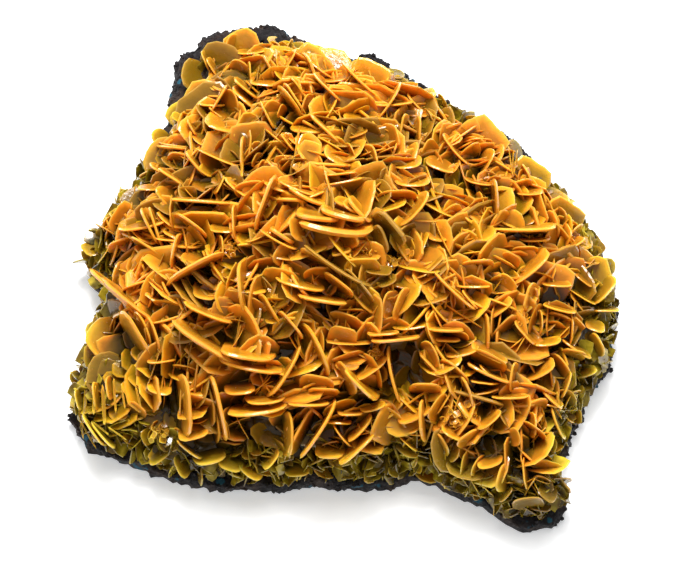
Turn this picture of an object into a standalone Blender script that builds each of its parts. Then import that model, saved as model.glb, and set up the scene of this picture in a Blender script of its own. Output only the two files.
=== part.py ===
"""Wulfenite specimen: a crust of thin intergrown plates on a dark limonite matrix.

The specimen lies on its flat back. Z is up, the table is z = 0, and the origin is on the
resting face under the middle of the specimen. The eye that the plates were read from looks
along +Y and down at ELEVATION, so each plate is written as that eye sees it: across, up,
its radius, how open it looks and how it slants. All of those sizes are real millimetres.
"""

import math
import random

import bmesh
import bpy
from mathutils import Matrix, Vector, noise

MM = 0.001

# The eye: how far it looks down, how far off it is and the point it looks at.
ELEVATION = math.radians(60)
EYE_DISTANCE = 800
TARGET = Vector((0, -5, 12))
TO_EYE = Vector((0, -math.cos(ELEVATION), math.sin(ELEVATION)))
ACROSS = Vector((1, 0, 0))
UP_VIEW = Vector((0, math.sin(ELEVATION), math.cos(ELEVATION)))
EYE = TARGET + TO_EYE * EYE_DISTANCE

# The dome that the plates' middles lie on: a superellipsoid over the rim, higher in the middle.
SHOULDER_HEIGHT = 19.0
DOME_RISE = 12.0
DOME_CENTRE = Vector((-4, -2))
DOME_SPREAD = 36.0
DOME_POWER = 3.2

# How far under that dome the druse and the rock lie, and the gap that parts touching solids.
DRUSE_DEPTH = 2.6
ROCK_DEPTH = 4.6
GAP = 0.4
FOOT_HEIGHT = 2.4
FOOT_INSET = 1.6
FOOT_JAGS = 9
FOOT_RAGGED = 0.8
ROUGHNESS = 0.9
ROUGHNESS_PER_MM = 0.16
ROUGH_SEED = 1796019423
DRUSE_BUMPS = 3.4
BUMPS_PER_MM = 0.21

# The back flank is bare rock: between these turns about the Z axis and under this height the
# rock comes out almost to the dome, and it does so over these easings.
BARE_FROM = math.radians(22)
BARE_TO = math.radians(156)
BARE_TURN_EASE = math.radians(16)
BARE_TOP = 15.0
BARE_EASE = 5.0
BARE_DEPTH = 0.4

# How many faces a lump has round it.
LUMP_SEGMENTS = 36

# A plate grows thicker as it grows wider. It is a square whose corners, had they not been cut,
# would reach a little past its radius.
PLATE_LEAST = 0.55
PLATE_SHARE = 0.085
CORNER_REACH = 1.16
CORNER_CUT = 0.34

# The rim as the eye sees it, anticlockwise from the near right foot: across, up and height.
RIM = (
    (40.6, -50.0, 0), (43.5, -45.5, 2), (40.2, -39.5, 4), (43.2, -33.5, 4),
    (45.6, -28.0, 4), (48.0, -21.5, 4), (52.2, -17.0, 4), (52.6, -9.0, 4),
    (54.0, -5.4, 4), (52.4, 1.0, 4), (48.4, 8.0, 4), (45.0, 13.6, 5),
    (40.6, 18.6, 5), (37.4, 23.0, 6), (31.6, 28.8, 6), (24.0, 32.6, 6),
    (16.6, 36.4, 6), (11.0, 40.8, 6), (1.0, 43.6, 6), (-10.0, 46.4, 6),
    (-17.0, 49.4, 6), (-24.0, 49.2, 6), (-30.0, 46.8, 6), (-34.2, 42.4, 6),
    (-34.4, 35.0, 6), (-38.0, 29.4, 6), (-42.0, 24.0, 5), (-43.6, 17.0, 5),
    (-47.6, 14.6, 5), (-48.8, 10.4, 5), (-53.4, 7.0, 4), (-52.4, 2.0, 4),
    (-49.0, -3.0, 4), (-50.8, -9.0, 4), (-51.2, -14.0, 4), (-55.0, -20.0, 3),
    (-52.0, -24.0, 3), (-56.0, -26.4, 2), (-55.0, -30.0, 1), (-52.0, -34.0, 0),
    (-42.0, -37.8, 0), (-34.0, -40.8, 0), (-24.4, -42.2, 0), (-16.0, -42.6, 0),
    (-6.0, -41.4, 0), (4.0, -42.6, 0), (12.0, -40.4, 0), (18.0, -41.6, 0),
    (26.0, -45.6, 0), (34.0, -50.0, 0),
)

# Bare rock that stands clear of the crystals: across, up, height, half sizes along X, Y and Z.
KNOBS = (
    (-31.0, 40.0, 10, 4.6, 7.4, 6.4),
    (-26.0, 46.0, 9, 5.0, 4.6, 6.0),
    (-15.6, 47.4, 10, 6.0, 4.8, 5.6),
    (4.4, 41.2, 10, 4.2, 4.4, 5.0),
    (-48.0, -8.6, 5, 5.2, 3.0, 3.4),
)

KNOB_JAGS = 2.3
KNOB_RAGGED = 0.35

# The plates that can be told apart by eye, a region at a time: across, up, radius in mm, how
# open it looks (1 is face on, 0 edge on, below 0 the face looks down the view), the slant of
# its long axis in degrees, and how far it stands out towards the eye in mm.
PLATES_TOP = (
    (-19.4, 35.0, 7.4, 0.1, -53, 2.0), (-26.2, 36.2, 4.8, 0.1, 56, 2.4),
    (-24.4, 32.4, 6.2, 0.58, -25, 0.6), (-25.6, 34.6, 4.0, 0.2, -3, 1.6),
    (-20.6, 37.6, 4.0, -0.4, -40, 0.4), (-17.6, 42.0, 4.0, 0.65, -60, 0.0),
    (-6.0, 41.0, 5.0, 0.16, -45, 1.4), (-5.0, 39.0, 4.4, 0.14, -50, 1.8),
    (3.2, 39.4, 6.2, 0.16, -44, 2.2), (-8.4, 37.6, 4.0, -0.5, 5, 0.8),
    (-11.8, 35.6, 4.6, 0.14, -51, 2.0), (-7.6, 30.4, 4.2, 0.3, 0, 0.8),
    (-4.6, 30.4, 4.8, 0.13, -43, 2.0), (-2.4, 21.2, 4.6, 0.12, 5, 2.0),
    (-1.6, 19.6, 4.0, 0.12, 12, 1.8), (0.0, 32.0, 4.4, -0.45, -12, -0.4),
    (7.6, 35.2, 5.6, 0.12, 56, 2.4), (8.4, 35.0, 4.8, 0.17, 3, 1.6),
    (8.0, 30.0, 4.4, 0.55, 85, 0.6), (13.8, 35.2, 4.8, 0.2, -53, 1.4),
)
PLATES_UPPER_RIGHT = (
    (11.8, 20.4, 4.8, 0.42, 3, 1.2), (9.0, 16.0, 5.2, -0.5, 0, 0.4),
    (12.4, 13.6, 5.6, 0.3, 48, 1.6), (7.6, 10.0, 6.0, -0.3, -55, 1.6),
    (10.0, 23.6, 4.6, 0.45, 20, 0.4), (4.6, 24.0, 4.4, 0.5, -75, 0.4),
    (20.0, 24.0, 4.6, 0.4, -50, 1.0), (24.0, 20.0, 4.0, 0.25, -8, 1.4),
    (29.0, 16.4, 6.0, 0.14, 88, 2.2), (21.0, 12.0, 4.4, 0.5, 50, 0.4),
    (22.0, 7.0, 4.6, 0.5, -20, 0.6), (36.0, 14.6, 4.8, -0.26, -15, 0.8),
    (34.0, 10.0, 8.0, 0.1, 4, 2.0), (36.0, 8.4, 4.2, 0.2, 2, 1.2), (35.0, 3.6, 5.4, 0.6, 38, 1.0),
    (18.0, 3.6, 5.4, 0.6, 40, 0.6), (26.6, 0.6, 4.0, 0.16, -5, 1.2), (25.0, 3.0, 5.0, -0.4, 8, 0.8),
    (18.0, -2.0, 6.0, -0.2, -40, 1.6), (14.0, 0.0, 4.4, 0.7, 70, 0.2),
)
PLATES_RIGHT = (
    (35.6, -4.0, 4.2, -0.5, -80, 1.6), (30.0, -3.4, 4.6, 0.7, 30, 0.4),
    (38.0, -10.4, 5.4, 0.42, -25, 1.4), (44.4, -14.0, 4.2, 0.2, -32, 1.4),
    (44.0, -17.0, 4.4, -0.28, -10, 0.8), (28.0, -15.4, 4.8, -0.3, -17, 1.4),
    (28.4, -12.6, 4.4, 0.24, -12, 1.0), (32.0, -23.2, 4.0, 0.13, 0, 1.6),
    (27.4, -27.8, 4.2, 0.3, 35, 2.0), (42.0, -28.6, 4.0, 0.12, -72, 1.4),
    (24.6, -37.6, 4.0, 0.4, 35, 0.4), (39.0, -43.0, 3.8, 0.65, -30, 0.2),
)
PLATES_MIDDLE = (
    (-9.4, 18.4, 4.6, 0.2, -18, 0.8), (-8.0, 16.4, 4.8, 0.2, -22, 1.6),
    (-12.0, 15.4, 4.2, 0.32, -12, 1.0), (-4.0, 13.0, 8.0, 0.14, -12, 2.6),
    (-7.0, 12.6, 5.4, 0.26, -8, 3.4), (-5.0, 14.4, 5.4, 0.16, -18, 2.4),
    (-14.0, 8.0, 5.4, 0.12, -25, 1.8), (-2.4, 2.6, 9.0, 0.1, -33, 3.0),
    (-5.6, 3.4, 6.0, 0.18, -30, 2.2), (-2.4, -1.0, 5.4, 0.2, -41, 2.6),
    (1.0, -1.0, 5.0, -0.3, -45, 1.0), (-12.0, 0.0, 7.4, 0.16, -18, 1.2),
    (-5.6, -2.6, 6.0, 0.24, -7, 1.4), (-17.6, -1.0, 4.6, 0.2, -45, 0.8),
    (-14.6, -3.6, 4.6, 0.2, -48, 1.0), (-0.4, -10.0, 4.2, 0.7, -20, 0.4),
    (-1.4, -13.0, 5.2, -0.7, -35, 1.4), (3.2, -16.4, 4.2, 0.65, 45, 1.0),
    (1.6, -20.4, 7.0, 0.24, -45, 2.6), (-2.0, -19.6, 4.2, 0.36, -70, 3.0),
    (3.6, -25.8, 4.2, 0.2, 15, 2.0), (-6.4, -22.0, 4.8, -0.5, -5, 1.2),
    (7.0, -10.4, 5.4, 0.1, 3, 3.4), (9.4, -11.6, 6.0, 0.14, 4, 3.2),
    (18.6, -10.4, 5.2, 0.2, -3, 2.4), (8.4, -18.6, 5.4, 0.1, -80, 1.4),
    (16.0, -15.0, 3.8, -0.65, -50, 0.4), (12.0, -4.0, 4.6, 0.6, -60, 0.4),
    (14.4, -7.0, 4.2, -0.6, 30, 0.4), (21.0, -5.0, 4.4, 0.5, -60, 0.6),
    (-6.0, -13.6, 6.4, -0.22, -60, 1.4), (-13.4, -7.6, 6.6, 0.14, -52, 1.8),
    (-11.4, -8.6, 6.6, 0.14, -50, 1.2), (-12.8, -18.4, 5.8, 0.14, 52, 2.2),
    (15.0, -22.4, 4.4, -0.5, -10, 0.6), (13.6, -25.6, 4.0, 0.7, 60, 0.8),
    (14.6, -26.6, 4.2, 0.14, -85, 2.2), (17.6, -32.0, 4.2, 0.45, -55, 1.0),
    (8.0, -28.4, 5.6, 0.55, 65, 1.6),
)
PLATES_LEFT = (
    (-30.6, 23.4, 4.8, 0.2, -50, 1.2), (-34.4, 20.6, 4.2, 0.2, -33, 1.0),
    (-25.6, 23.0, 3.8, 0.4, 85, 0.8), (-21.4, 24.0, 5.2, 0.1, 89, 1.6),
    (-19.6, 18.0, 3.8, -0.6, 20, 0.8), (-18.4, 15.0, 5.2, 0.24, 75, 1.6),
    (-16.6, 15.6, 6.6, 0.13, 68, 2.4), (-30.0, 15.0, 7.0, -0.2, -2, 1.4),
    (-25.0, 12.0, 4.4, 0.45, 2, 1.0), (-22.8, 10.4, 5.0, 0.1, 88, 2.0),
    (-32.4, 10.4, 5.4, -0.28, -38, 1.4), (-41.0, 11.6, 5.2, 0.24, 10, 1.2),
    (-39.2, 10.0, 5.6, 0.1, -67, 2.4), (-44.4, 7.4, 4.2, -0.35, 8, 0.6),
    (-40.2, 6.6, 5.0, -0.2, -30, 1.4), (-36.0, 2.0, 7.6, 0.1, 75, 1.8),
    (-30.4, 2.0, 6.8, 0.13, 27, 2.2), (-25.4, 9.0, 3.8, 0.28, 85, 0.8),
    (-20.8, -1.0, 7.6, 0.1, 88, 1.8), (-44.0, -3.6, 8.6, 0.1, -42, 1.4),
    (-27.6, -2.0, 4.2, 0.45, 10, 1.2), (-28.0, -6.4, 7.6, 0.22, -22, 2.0),
    (-29.0, -10.0, 8.4, 0.27, -28, 1.6), (-21.0, -14.0, 7.0, 0.27, -25, 2.2),
    (-19.0, -16.4, 6.0, 0.3, -20, 2.4), (-22.4, -19.6, 5.2, 0.52, 0, 1.0),
    (-45.0, -10.0, 5.2, 0.27, -65, 0.8), (-42.0, -11.0, 5.6, 0.3, -62, 1.2),
    (-40.0, -11.0, 4.8, 0.33, -60, 1.6), (-37.0, -16.6, 4.4, 0.14, 3, 1.6),
    (-18.4, -24.4, 6.8, 0.3, 8, 1.8),
)
PLATES_NEAR = (
    (-33.4, -21.0, 3.8, 0.75, 70, 1.2), (-32.0, -22.4, 4.4, 0.24, 0, 1.4),
    (-33.6, -27.0, 5.2, 0.36, -80, 1.2), (-27.0, -24.0, 8.4, 0.16, -78, 2.0),
    (-30.4, -30.0, 4.0, 0.42, 15, 0.8), (-10.0, -24.8, 7.0, 0.12, 0, 2.0),
    (-6.0, -29.6, 7.4, 0.12, 59, 2.2), (-9.0, -30.4, 6.0, 0.2, 66, 1.4),
    (-12.4, -30.4, 5.2, 0.3, 88, 1.0), (-1.6, -33.6, 6.0, 0.46, 35, 1.4),
    (1.6, -29.4, 4.0, 0.4, 45, 2.0), (-50.0, -22.0, 4.4, 0.2, -80, 0.6),
    (-48.0, -23.0, 4.4, 0.2, -100, 0.8), (-20.0, -31.0, 4.0, 0.4, -60, 0.2),
    (15.4, -37.0, 3.8, 0.65, -60, 0.2),
)
PLATES = (
    PLATES_TOP + PLATES_UPPER_RIGHT + PLATES_RIGHT + PLATES_MIDDLE + PLATES_LEFT + PLATES_NEAR
)

# The plates between those, and on the sides that the eye doesn't see, stand on edge all over the
# dome: how many places are tried, how deep their middles lie, how near a listed plate may be,
# and their radii.
FILL_PLACES = 96
FILL_DEPTH = 1.8
FILL_CLEAR = 6.2
FILL_RADII = (3.6, 5.4)
FILL_TILT = math.radians(28)
FILL_SEED = 11
GOLDEN_TURN = math.pi * (3 - math.sqrt(5))


def foot_of(across, up, height):
    """The point at this height that the eye sees there."""
    start = TARGET + ACROSS * across + UP_VIEW * up
    way = start - EYE
    return EYE + way * ((height - EYE.z) / way.z)


def rim_table():
    """The rim as (turn, radius) about the Z axis, sorted by turn, with its ends repeated."""
    points = [foot_of(*seen) for seen in RIM]
    table = sorted((math.atan2(p.y, p.x), math.hypot(p.x, p.y)) for p in points)
    first, last = table[0], table[-1]
    return [(last[0] - math.tau, last[1]), *table, (first[0] + math.tau, first[1])]


RIM_TABLE = rim_table()


def rim_radius(turn):
    """The rim's radius at this turn, eased between the rim's own points."""
    for (turn_a, radius_a), (turn_b, radius_b) in zip(RIM_TABLE, RIM_TABLE[1:]):
        if turn_a <= turn <= turn_b:
            share = (turn - turn_a) / max(turn_b - turn_a, 1e-9)
            return radius_a + (radius_b - radius_a) * share
    return RIM_TABLE[0][1]


def dome_height(x, y):
    """How high the dome stands over this place, before it falls off to the rim."""
    away = (Vector((x, y)) - DOME_CENTRE).length / DOME_SPREAD
    return SHOULDER_HEIGHT + DOME_RISE * math.exp(-away * away)


def level(point, depth=0.0):
    """1 on the dome that lies this deep, less inside it and more outside."""
    radius = rim_radius(math.atan2(point.y, point.x)) - depth
    out = math.hypot(point.x, point.y) / radius
    high = max(point.z, 0) / (dome_height(point.x, point.y) - depth)
    return (out ** DOME_POWER + high ** DOME_POWER) ** (1 / DOME_POWER)


def on_dome(across, up):
    """Where the eye's ray through this place meets the dome, or passes closest to it."""
    way = (TARGET + ACROSS * across + UP_VIEW * up - EYE).normalized()
    nearest = None
    for step in range(260):
        point = EYE + way * (EYE_DISTANCE - 70 + step * 0.6)
        if point.z < 0.5:
            break
        here = level(point)
        if nearest is None or here < nearest[0]:
            nearest = (here, point)
        if here <= 1:
            break
    return nearest[1]


def seen_placement(across, up, radius, openness, slant, lift):
    """The matrix that puts a flat plate where the eye sees it, its face's normal along Z."""
    turn = math.radians(slant)
    long_axis = ACROSS * math.cos(turn) + UP_VIEW * math.sin(turn)
    side = UP_VIEW * math.cos(turn) - ACROSS * math.sin(turn)
    face = abs(openness)
    normal = TO_EYE * face + side * math.copysign(math.sqrt(1 - face * face), openness)
    middle = on_dome(across, up) + TO_EYE * lift
    turned = Matrix((long_axis, normal.cross(long_axis), normal)).transposed()
    return Matrix.Translation(middle) @ turned.to_4x4()


def fill_placements():
    """A matrix and a radius for each plate that fills the dome between the listed ones."""
    chance = random.Random(FILL_SEED)
    taken = [seen_placement(*seen).translation for seen in PLATES]
    for number in range(FILL_PLACES):
        turn = (number * GOLDEN_TURN) % math.tau - math.pi
        way = Vector((0, 0, 1 - (number + 0.5) / FILL_PLACES))
        flat = math.sqrt(1 - way.z * way.z)
        way.x, way.y = math.cos(turn) * flat, math.sin(turn) * flat
        middle = under_dome(way, lambda turn, height: FILL_DEPTH)
        near = min((middle - other).length for other in taken)
        if near < FILL_CLEAR or middle.z < FOOT_HEIGHT + 2 or bareness(turn, middle.z) > 0.4:
            continue
        outward = Vector((way.x, way.y, way.z * 1.5)).normalized()
        edge_on = outward.orthogonal().normalized()
        edge_on.rotate(Matrix.Rotation(chance.uniform(0, math.tau), 3, outward))
        lean = edge_on * math.cos(FILL_TILT) + outward * math.sin(chance.uniform(-1, 1) * FILL_TILT)
        turned = lean.to_track_quat("Z", "Y").to_matrix().to_4x4()
        yield Matrix.Translation(middle) @ turned, chance.uniform(*FILL_RADII)


def collection_named(name, shown):
    made = bpy.data.collections.new(name)
    bpy.context.scene.collection.children.link(made)
    made.hide_render = not shown
    return made


def object_from(name, mesh_maker, collection, shown=True):
    """An object whose mesh is made in millimetres and kept in metres."""
    mesh = bpy.data.meshes.new(name)
    made = bmesh.new()
    mesh_maker(made)
    bmesh.ops.recalc_face_normals(made, faces=made.faces)
    bmesh.ops.scale(made, vec=(MM, MM, MM), verts=made.verts)
    made.to_mesh(mesh)
    made.free()
    obj = bpy.data.objects.new(name, mesh)
    obj.hide_render = not shown
    obj.display_type = "TEXTURED" if shown else "WIRE"
    collection.objects.link(obj)
    return obj


def eased(share):
    """0 below 0, 1 above 1, and smooth between."""
    share = min(max(share, 0), 1)
    return share * share * (3 - 2 * share)


def bareness(turn, height):
    """1 where the rock is bare, 0 where crystals cover it."""
    inside = min(turn - BARE_FROM, BARE_TO - turn) / BARE_TURN_EASE
    return eased(inside) * eased((BARE_TOP - height) / BARE_EASE)


def druse_depth(turn, height):
    return DRUSE_DEPTH


def rock_depth(turn, height):
    return ROCK_DEPTH + (BARE_DEPTH - ROCK_DEPTH) * bareness(turn, height)


def rock_room_depth(turn, height):
    return rock_depth(turn, height) - GAP


def under_dome(way, depth_at):
    """The point as deep under the dome as depth_at says, this way from the middle of the base."""
    turn = math.atan2(way.y, way.x)
    high = max(way.z, 0) ** (2 / DOME_POWER)
    depth = depth_at(turn, high * SHOULDER_HEIGHT)
    out = math.hypot(way.x, way.y) ** (2 / DOME_POWER) * (rim_radius(turn) - depth)
    place = Vector((math.cos(turn) * out, math.sin(turn) * out, 0))
    place.z = high * (dome_height(place.x, place.y) - depth)
    return place


def lump(made, depth_at, bumps=0.0):
    """A closed lump as deep under the dome as depth_at says, rough, with a flat underside."""
    bmesh.ops.create_uvsphere(
        made, u_segments=LUMP_SEGMENTS, v_segments=LUMP_SEGMENTS // 3, radius=1
    )
    whole = made.verts[:] + made.edges[:] + made.faces[:]
    cut = bmesh.ops.bisect_plane(
        made, geom=whole, dist=1e-6, plane_co=(0, 0, 0), plane_no=(0, 0, 1), clear_inner=True
    )
    bottom = [e for e in cut["geom_cut"] if isinstance(e, bmesh.types.BMEdge)]
    bmesh.ops.edgeloop_fill(made, edges=bottom)
    bmesh.ops.triangulate(made, faces=made.faces)
    for vert in made.verts:
        place = under_dome(vert.co, depth_at)
        rough = noise.noise_vector(place * ROUGHNESS_PER_MM) * ROUGHNESS
        rough += vert.co * abs(noise.noise(place * BUMPS_PER_MM)) * bumps
        if place.z < 0.3:
            rough.z = 0
        vert.co = place + rough
        vert.co.z = max(vert.co.z, 0)


def foot_slab(made, inset, height):
    """The rock's foot, a low slab with the rim's own outline."""
    bmesh.ops.create_cone(
        made, cap_ends=True, segments=64, radius1=1, radius2=0.985, depth=height
    )
    for vert in made.verts:
        turn = math.atan2(vert.co.y, vert.co.x)
        reach = rim_radius(turn) - inset
        ragged = noise.noise(Vector((math.cos(turn), math.sin(turn), 0)) * FOOT_JAGS) * FOOT_RAGGED
        vert.co.x *= reach + ragged
        vert.co.y *= reach + ragged
        vert.co.z += height / 2


def knob(made, across, up, height, half_across, half_up, half_deep, swell=0.0):
    """A ragged boss of bare rock, swollen by this much where it cuts the crystals."""
    bmesh.ops.create_icosphere(made, subdivisions=2, radius=1)
    middle = foot_of(across, up, height)
    for vert in made.verts:
        ragged = 1 + noise.noise(vert.co * KNOB_JAGS + middle) * KNOB_RAGGED
        x = vert.co.x * (half_across * ragged + swell)
        y = vert.co.y * (half_up * ragged + swell)
        z = vert.co.z * (half_deep * ragged + swell)
        vert.co = middle + Vector((x, y, z))


def plate(made, placement, radius):
    """A thin four-sided plate with its corners cut off, as wulfenite grows."""
    bmesh.ops.create_cone(
        made, cap_ends=True, segments=4, radius1=radius * CORNER_REACH,
        radius2=radius * CORNER_REACH, depth=PLATE_LEAST + PLATE_SHARE * radius,
    )
    upright = [e for e in made.edges if abs(e.verts[0].co.z - e.verts[1].co.z) > 1e-4]
    bmesh.ops.bevel(
        made, geom=upright, offset=radius * CORNER_CUT, offset_type="OFFSET",
        segments=1, profile=0.5, affect="EDGES", material=-1,
    )
    bmesh.ops.transform(made, matrix=placement, verts=made.verts)


def table_cutter(made, top):
    """Everything under this height."""
    bmesh.ops.create_cube(made, size=200)
    bmesh.ops.translate(made, vec=(0, 0, top - 100), verts=made.verts)


def add_boolean(obj, operation, collection):
    """Joins the collection's pieces to the object, or cuts them out of it."""
    modifier = obj.modifiers.new(operation.title(), "BOOLEAN")
    modifier.operation = operation
    modifier.solver = "EXACT"
    modifier.operand_type = "COLLECTION"
    modifier.collection = collection


def finish(name, color, roughness):
    """A plain finish for the solids."""
    material = bpy.data.materials.new(name)
    material.use_nodes = True
    shader = material.node_tree.nodes["Principled BSDF"]
    shader.inputs["Base Color"].default_value = (*color, 1)
    shader.inputs["Roughness"].default_value = roughness
    shader.inputs["Metallic"].default_value = 0
    return material


def keep_largest_piece(obj):
    """Applies the modifiers and drops plates that reach neither the druse nor a neighbour."""
    evaluated = obj.evaluated_get(bpy.context.evaluated_depsgraph_get())
    mesh = bpy.data.meshes.new_from_object(evaluated)
    made = bmesh.new()
    made.from_mesh(mesh)
    left = set(made.faces)
    pieces = []
    while left:
        piece, reached = set(), [left.pop()]
        while reached:
            face = reached.pop()
            piece.add(face)
            near = {other for edge in face.edges for other in edge.link_faces} & left
            left -= near
            reached.extend(near)
        pieces.append(piece)
    largest = max(pieces, key=len)
    loose = [face for piece in pieces if piece is not largest for face in piece]
    bmesh.ops.delete(made, geom=loose, context="FACES")
    made.to_mesh(mesh)
    made.free()
    obj.modifiers.clear()
    obj.data = mesh


def clear_scene():
    for obj in list(bpy.data.objects):
        bpy.data.objects.remove(obj)


def make_matrix(shown):
    """The dark rock: its own lump, its foot and the bosses that stand clear of the crystals."""
    rock = object_from("matrix", lambda m: lump(m, rock_depth), shown)
    extras = collection_named("rock_pieces", shown=False)
    object_from("rock_foot", lambda m: foot_slab(m, FOOT_INSET, FOOT_HEIGHT), extras, False)
    for number, seen in enumerate(KNOBS):
        object_from(f"rock_knob_{number}", lambda m, s=seen: knob(m, *s), extras, False)
    add_boolean(rock, "UNION", extras)
    rock.data.materials.append(finish("limonite", (0.045, 0.034, 0.03), 0.9))


def make_crystals(shown):
    """The wulfenite: a thin druse with every plate joined to it, cut clear of the rock."""
    druse = object_from(
        "wulfenite_plates", lambda m: lump(m, druse_depth, DRUSE_BUMPS), shown
    )
    plates = collection_named("plate_pieces", shown=False)
    for number, seen in enumerate(PLATES):
        placement = seen_placement(*seen)
        object_from(
            f"plate_{number:03d}", lambda m, p=placement, r=seen[2]: plate(m, p, r), plates, False
        )
    for number, (placement, radius) in enumerate(fill_placements()):
        object_from(
            f"fill_{number:03d}", lambda m, p=placement, r=radius: plate(m, p, r), plates, False
        )
    rock_room = collection_named("rock_room", shown=False)
    object_from("room_lump", lambda m: lump(m, rock_room_depth), rock_room, False)
    object_from("room_foot", lambda m: table_cutter(m, FOOT_HEIGHT + GAP), rock_room, False)
    for number, seen in enumerate(KNOBS):
        object_from(
            f"room_knob_{number}", lambda m, s=seen: knob(m, *s, swell=GAP), rock_room, False
        )
    add_boolean(druse, "UNION", plates)
    add_boolean(druse, "DIFFERENCE", rock_room)
    keep_largest_piece(druse)
    druse.data.materials.append(finish("wulfenite", (0.75, 0.32, 0.03), 0.35))


def main():
    clear_scene()
    noise.seed_set(ROUGH_SEED)
    shown = collection_named("wulfenite_specimen", shown=True)
    make_matrix(shown)
    make_crystals(shown)


main()
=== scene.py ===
"""The looks of a wulfenite specimen: hundreds of thin orange plates grown on dark limonite.

Everything is worked out in millimetres and kept in metres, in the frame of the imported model.
The specimen lies on its flat back on the table, z = 0, and the eye looks along +Y and down.
"""

import functools
import math
import random
from collections import namedtuple

import bmesh
import bpy
import numpy as np
from mathutils import Matrix, Vector, kdtree, noise


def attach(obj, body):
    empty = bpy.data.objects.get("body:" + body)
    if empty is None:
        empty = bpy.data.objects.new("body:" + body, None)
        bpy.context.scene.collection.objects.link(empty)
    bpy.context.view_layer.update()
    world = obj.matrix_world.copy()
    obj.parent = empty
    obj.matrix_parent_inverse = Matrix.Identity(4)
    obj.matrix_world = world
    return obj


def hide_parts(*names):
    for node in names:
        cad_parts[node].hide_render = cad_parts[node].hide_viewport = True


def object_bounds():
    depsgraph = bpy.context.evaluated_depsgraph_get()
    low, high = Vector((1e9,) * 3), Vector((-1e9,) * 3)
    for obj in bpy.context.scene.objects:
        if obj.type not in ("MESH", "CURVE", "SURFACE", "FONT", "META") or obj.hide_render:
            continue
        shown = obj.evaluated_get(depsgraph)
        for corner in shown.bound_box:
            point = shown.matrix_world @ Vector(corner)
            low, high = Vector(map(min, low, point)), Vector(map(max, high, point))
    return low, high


bl_info = {
    "name": "Wulfenite Specimen",
    "version": (1, 0, 0),
    "blender": (4, 5, 0),
    "location": "View3D > Sidebar > Specimen",
    "description": "Grows a crust of wulfenite plates on a limonite matrix",
    "category": "Add Mesh",
}

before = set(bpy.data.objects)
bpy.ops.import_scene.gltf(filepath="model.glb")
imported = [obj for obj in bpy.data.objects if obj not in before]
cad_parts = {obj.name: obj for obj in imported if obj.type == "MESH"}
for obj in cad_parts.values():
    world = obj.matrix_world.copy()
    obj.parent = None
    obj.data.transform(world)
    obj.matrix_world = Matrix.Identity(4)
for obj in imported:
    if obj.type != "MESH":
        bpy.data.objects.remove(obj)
CAD_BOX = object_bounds()

MM = 0.001

# The eye, as the photograph was taken: how far it looks down, how far off it is, what it looks
# at, and what a pixel of its 700 by 565 picture measures there.
ELEVATION = math.radians(60)
EYE_DISTANCE = 800
TARGET = Vector((0, -5, 12))
PICTURE_WIDTH = 700
PICTURE_MIDDLE = (350, 282.5)
MM_PER_PIXEL = 0.2
SENSOR_WIDTH = 36
TO_EYE = Vector((0, -math.cos(ELEVATION), math.sin(ELEVATION)))
ACROSS = Vector((1, 0, 0))
UP_VIEW = Vector((0, math.sin(ELEVATION), math.cos(ELEVATION)))
EYE = TARGET + TO_EYE * EYE_DISTANCE

# The walk along the eye's ray to the dome: how far before the target it starts, its step and the
# number of its steps, and the height at which it ends, in mm.
RAY_AHEAD = 70
RAY_STEP = 0.6
RAY_STEPS = 260
RAY_END_HEIGHT = 0.5

# The dome that the plates' middles lie on, as in the solids.
SHOULDER_HEIGHT = 19.0
DOME_RISE = 12.0
DOME_CENTRE = Vector((-4, -2))
DOME_SPREAD = 36.0
DOME_POWER = 3.2

# How deep the rock lies under that dome, where it is bare, and its foot, as in the solids.
ROCK_DEPTH = 4.6
FOOT_HEIGHT = 2.4
FOOT_INSET = 1.6
FOOT_EASE = 0.6
BARE_FROM = math.radians(22)
BARE_TO = math.radians(156)
BARE_TURN_EASE = math.radians(16)
BARE_TOP = 15.0
BARE_EASE = 5.0
BARE_DEPTH = 0.4
ROUGHNESS = 0.9
ROUGHNESS_PER_MM = 0.16
ROUGH_SEED = 1796019423

# The rock's finer relief: how close its knobs, pits and grains stand, per mm, and how far the
# knobs, the pits, the bosses and the foot stand out. The foot swells up to this height, in mm.
KNOBS_PER_MM = 0.34
PITS_PER_MM = 0.9
FINE_PITS_PER_MM = 2.1
GRAINS_PER_MM = 0.62
FINE_GRAINS_PER_MM = 1.3
KNOB_HEIGHT = 0.4
PIT_DEPTH = 0.8
BOSS_SWELL = 0.55
FOOT_SWELL = 1.0
FOOT_SWELL_TOP = 3.9
FOOT_SWELL_EASE = 2.0

# The loose grains on the rock: how many shapes they have, the radii they are drawn from in mm,
# and how many places are tried for each.
KNOB_SHAPES = 8
KNOB_FACES = 20
KNOB_RADII = (0.25, 0.8)
TRIES_PER_KNOB = 40

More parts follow.
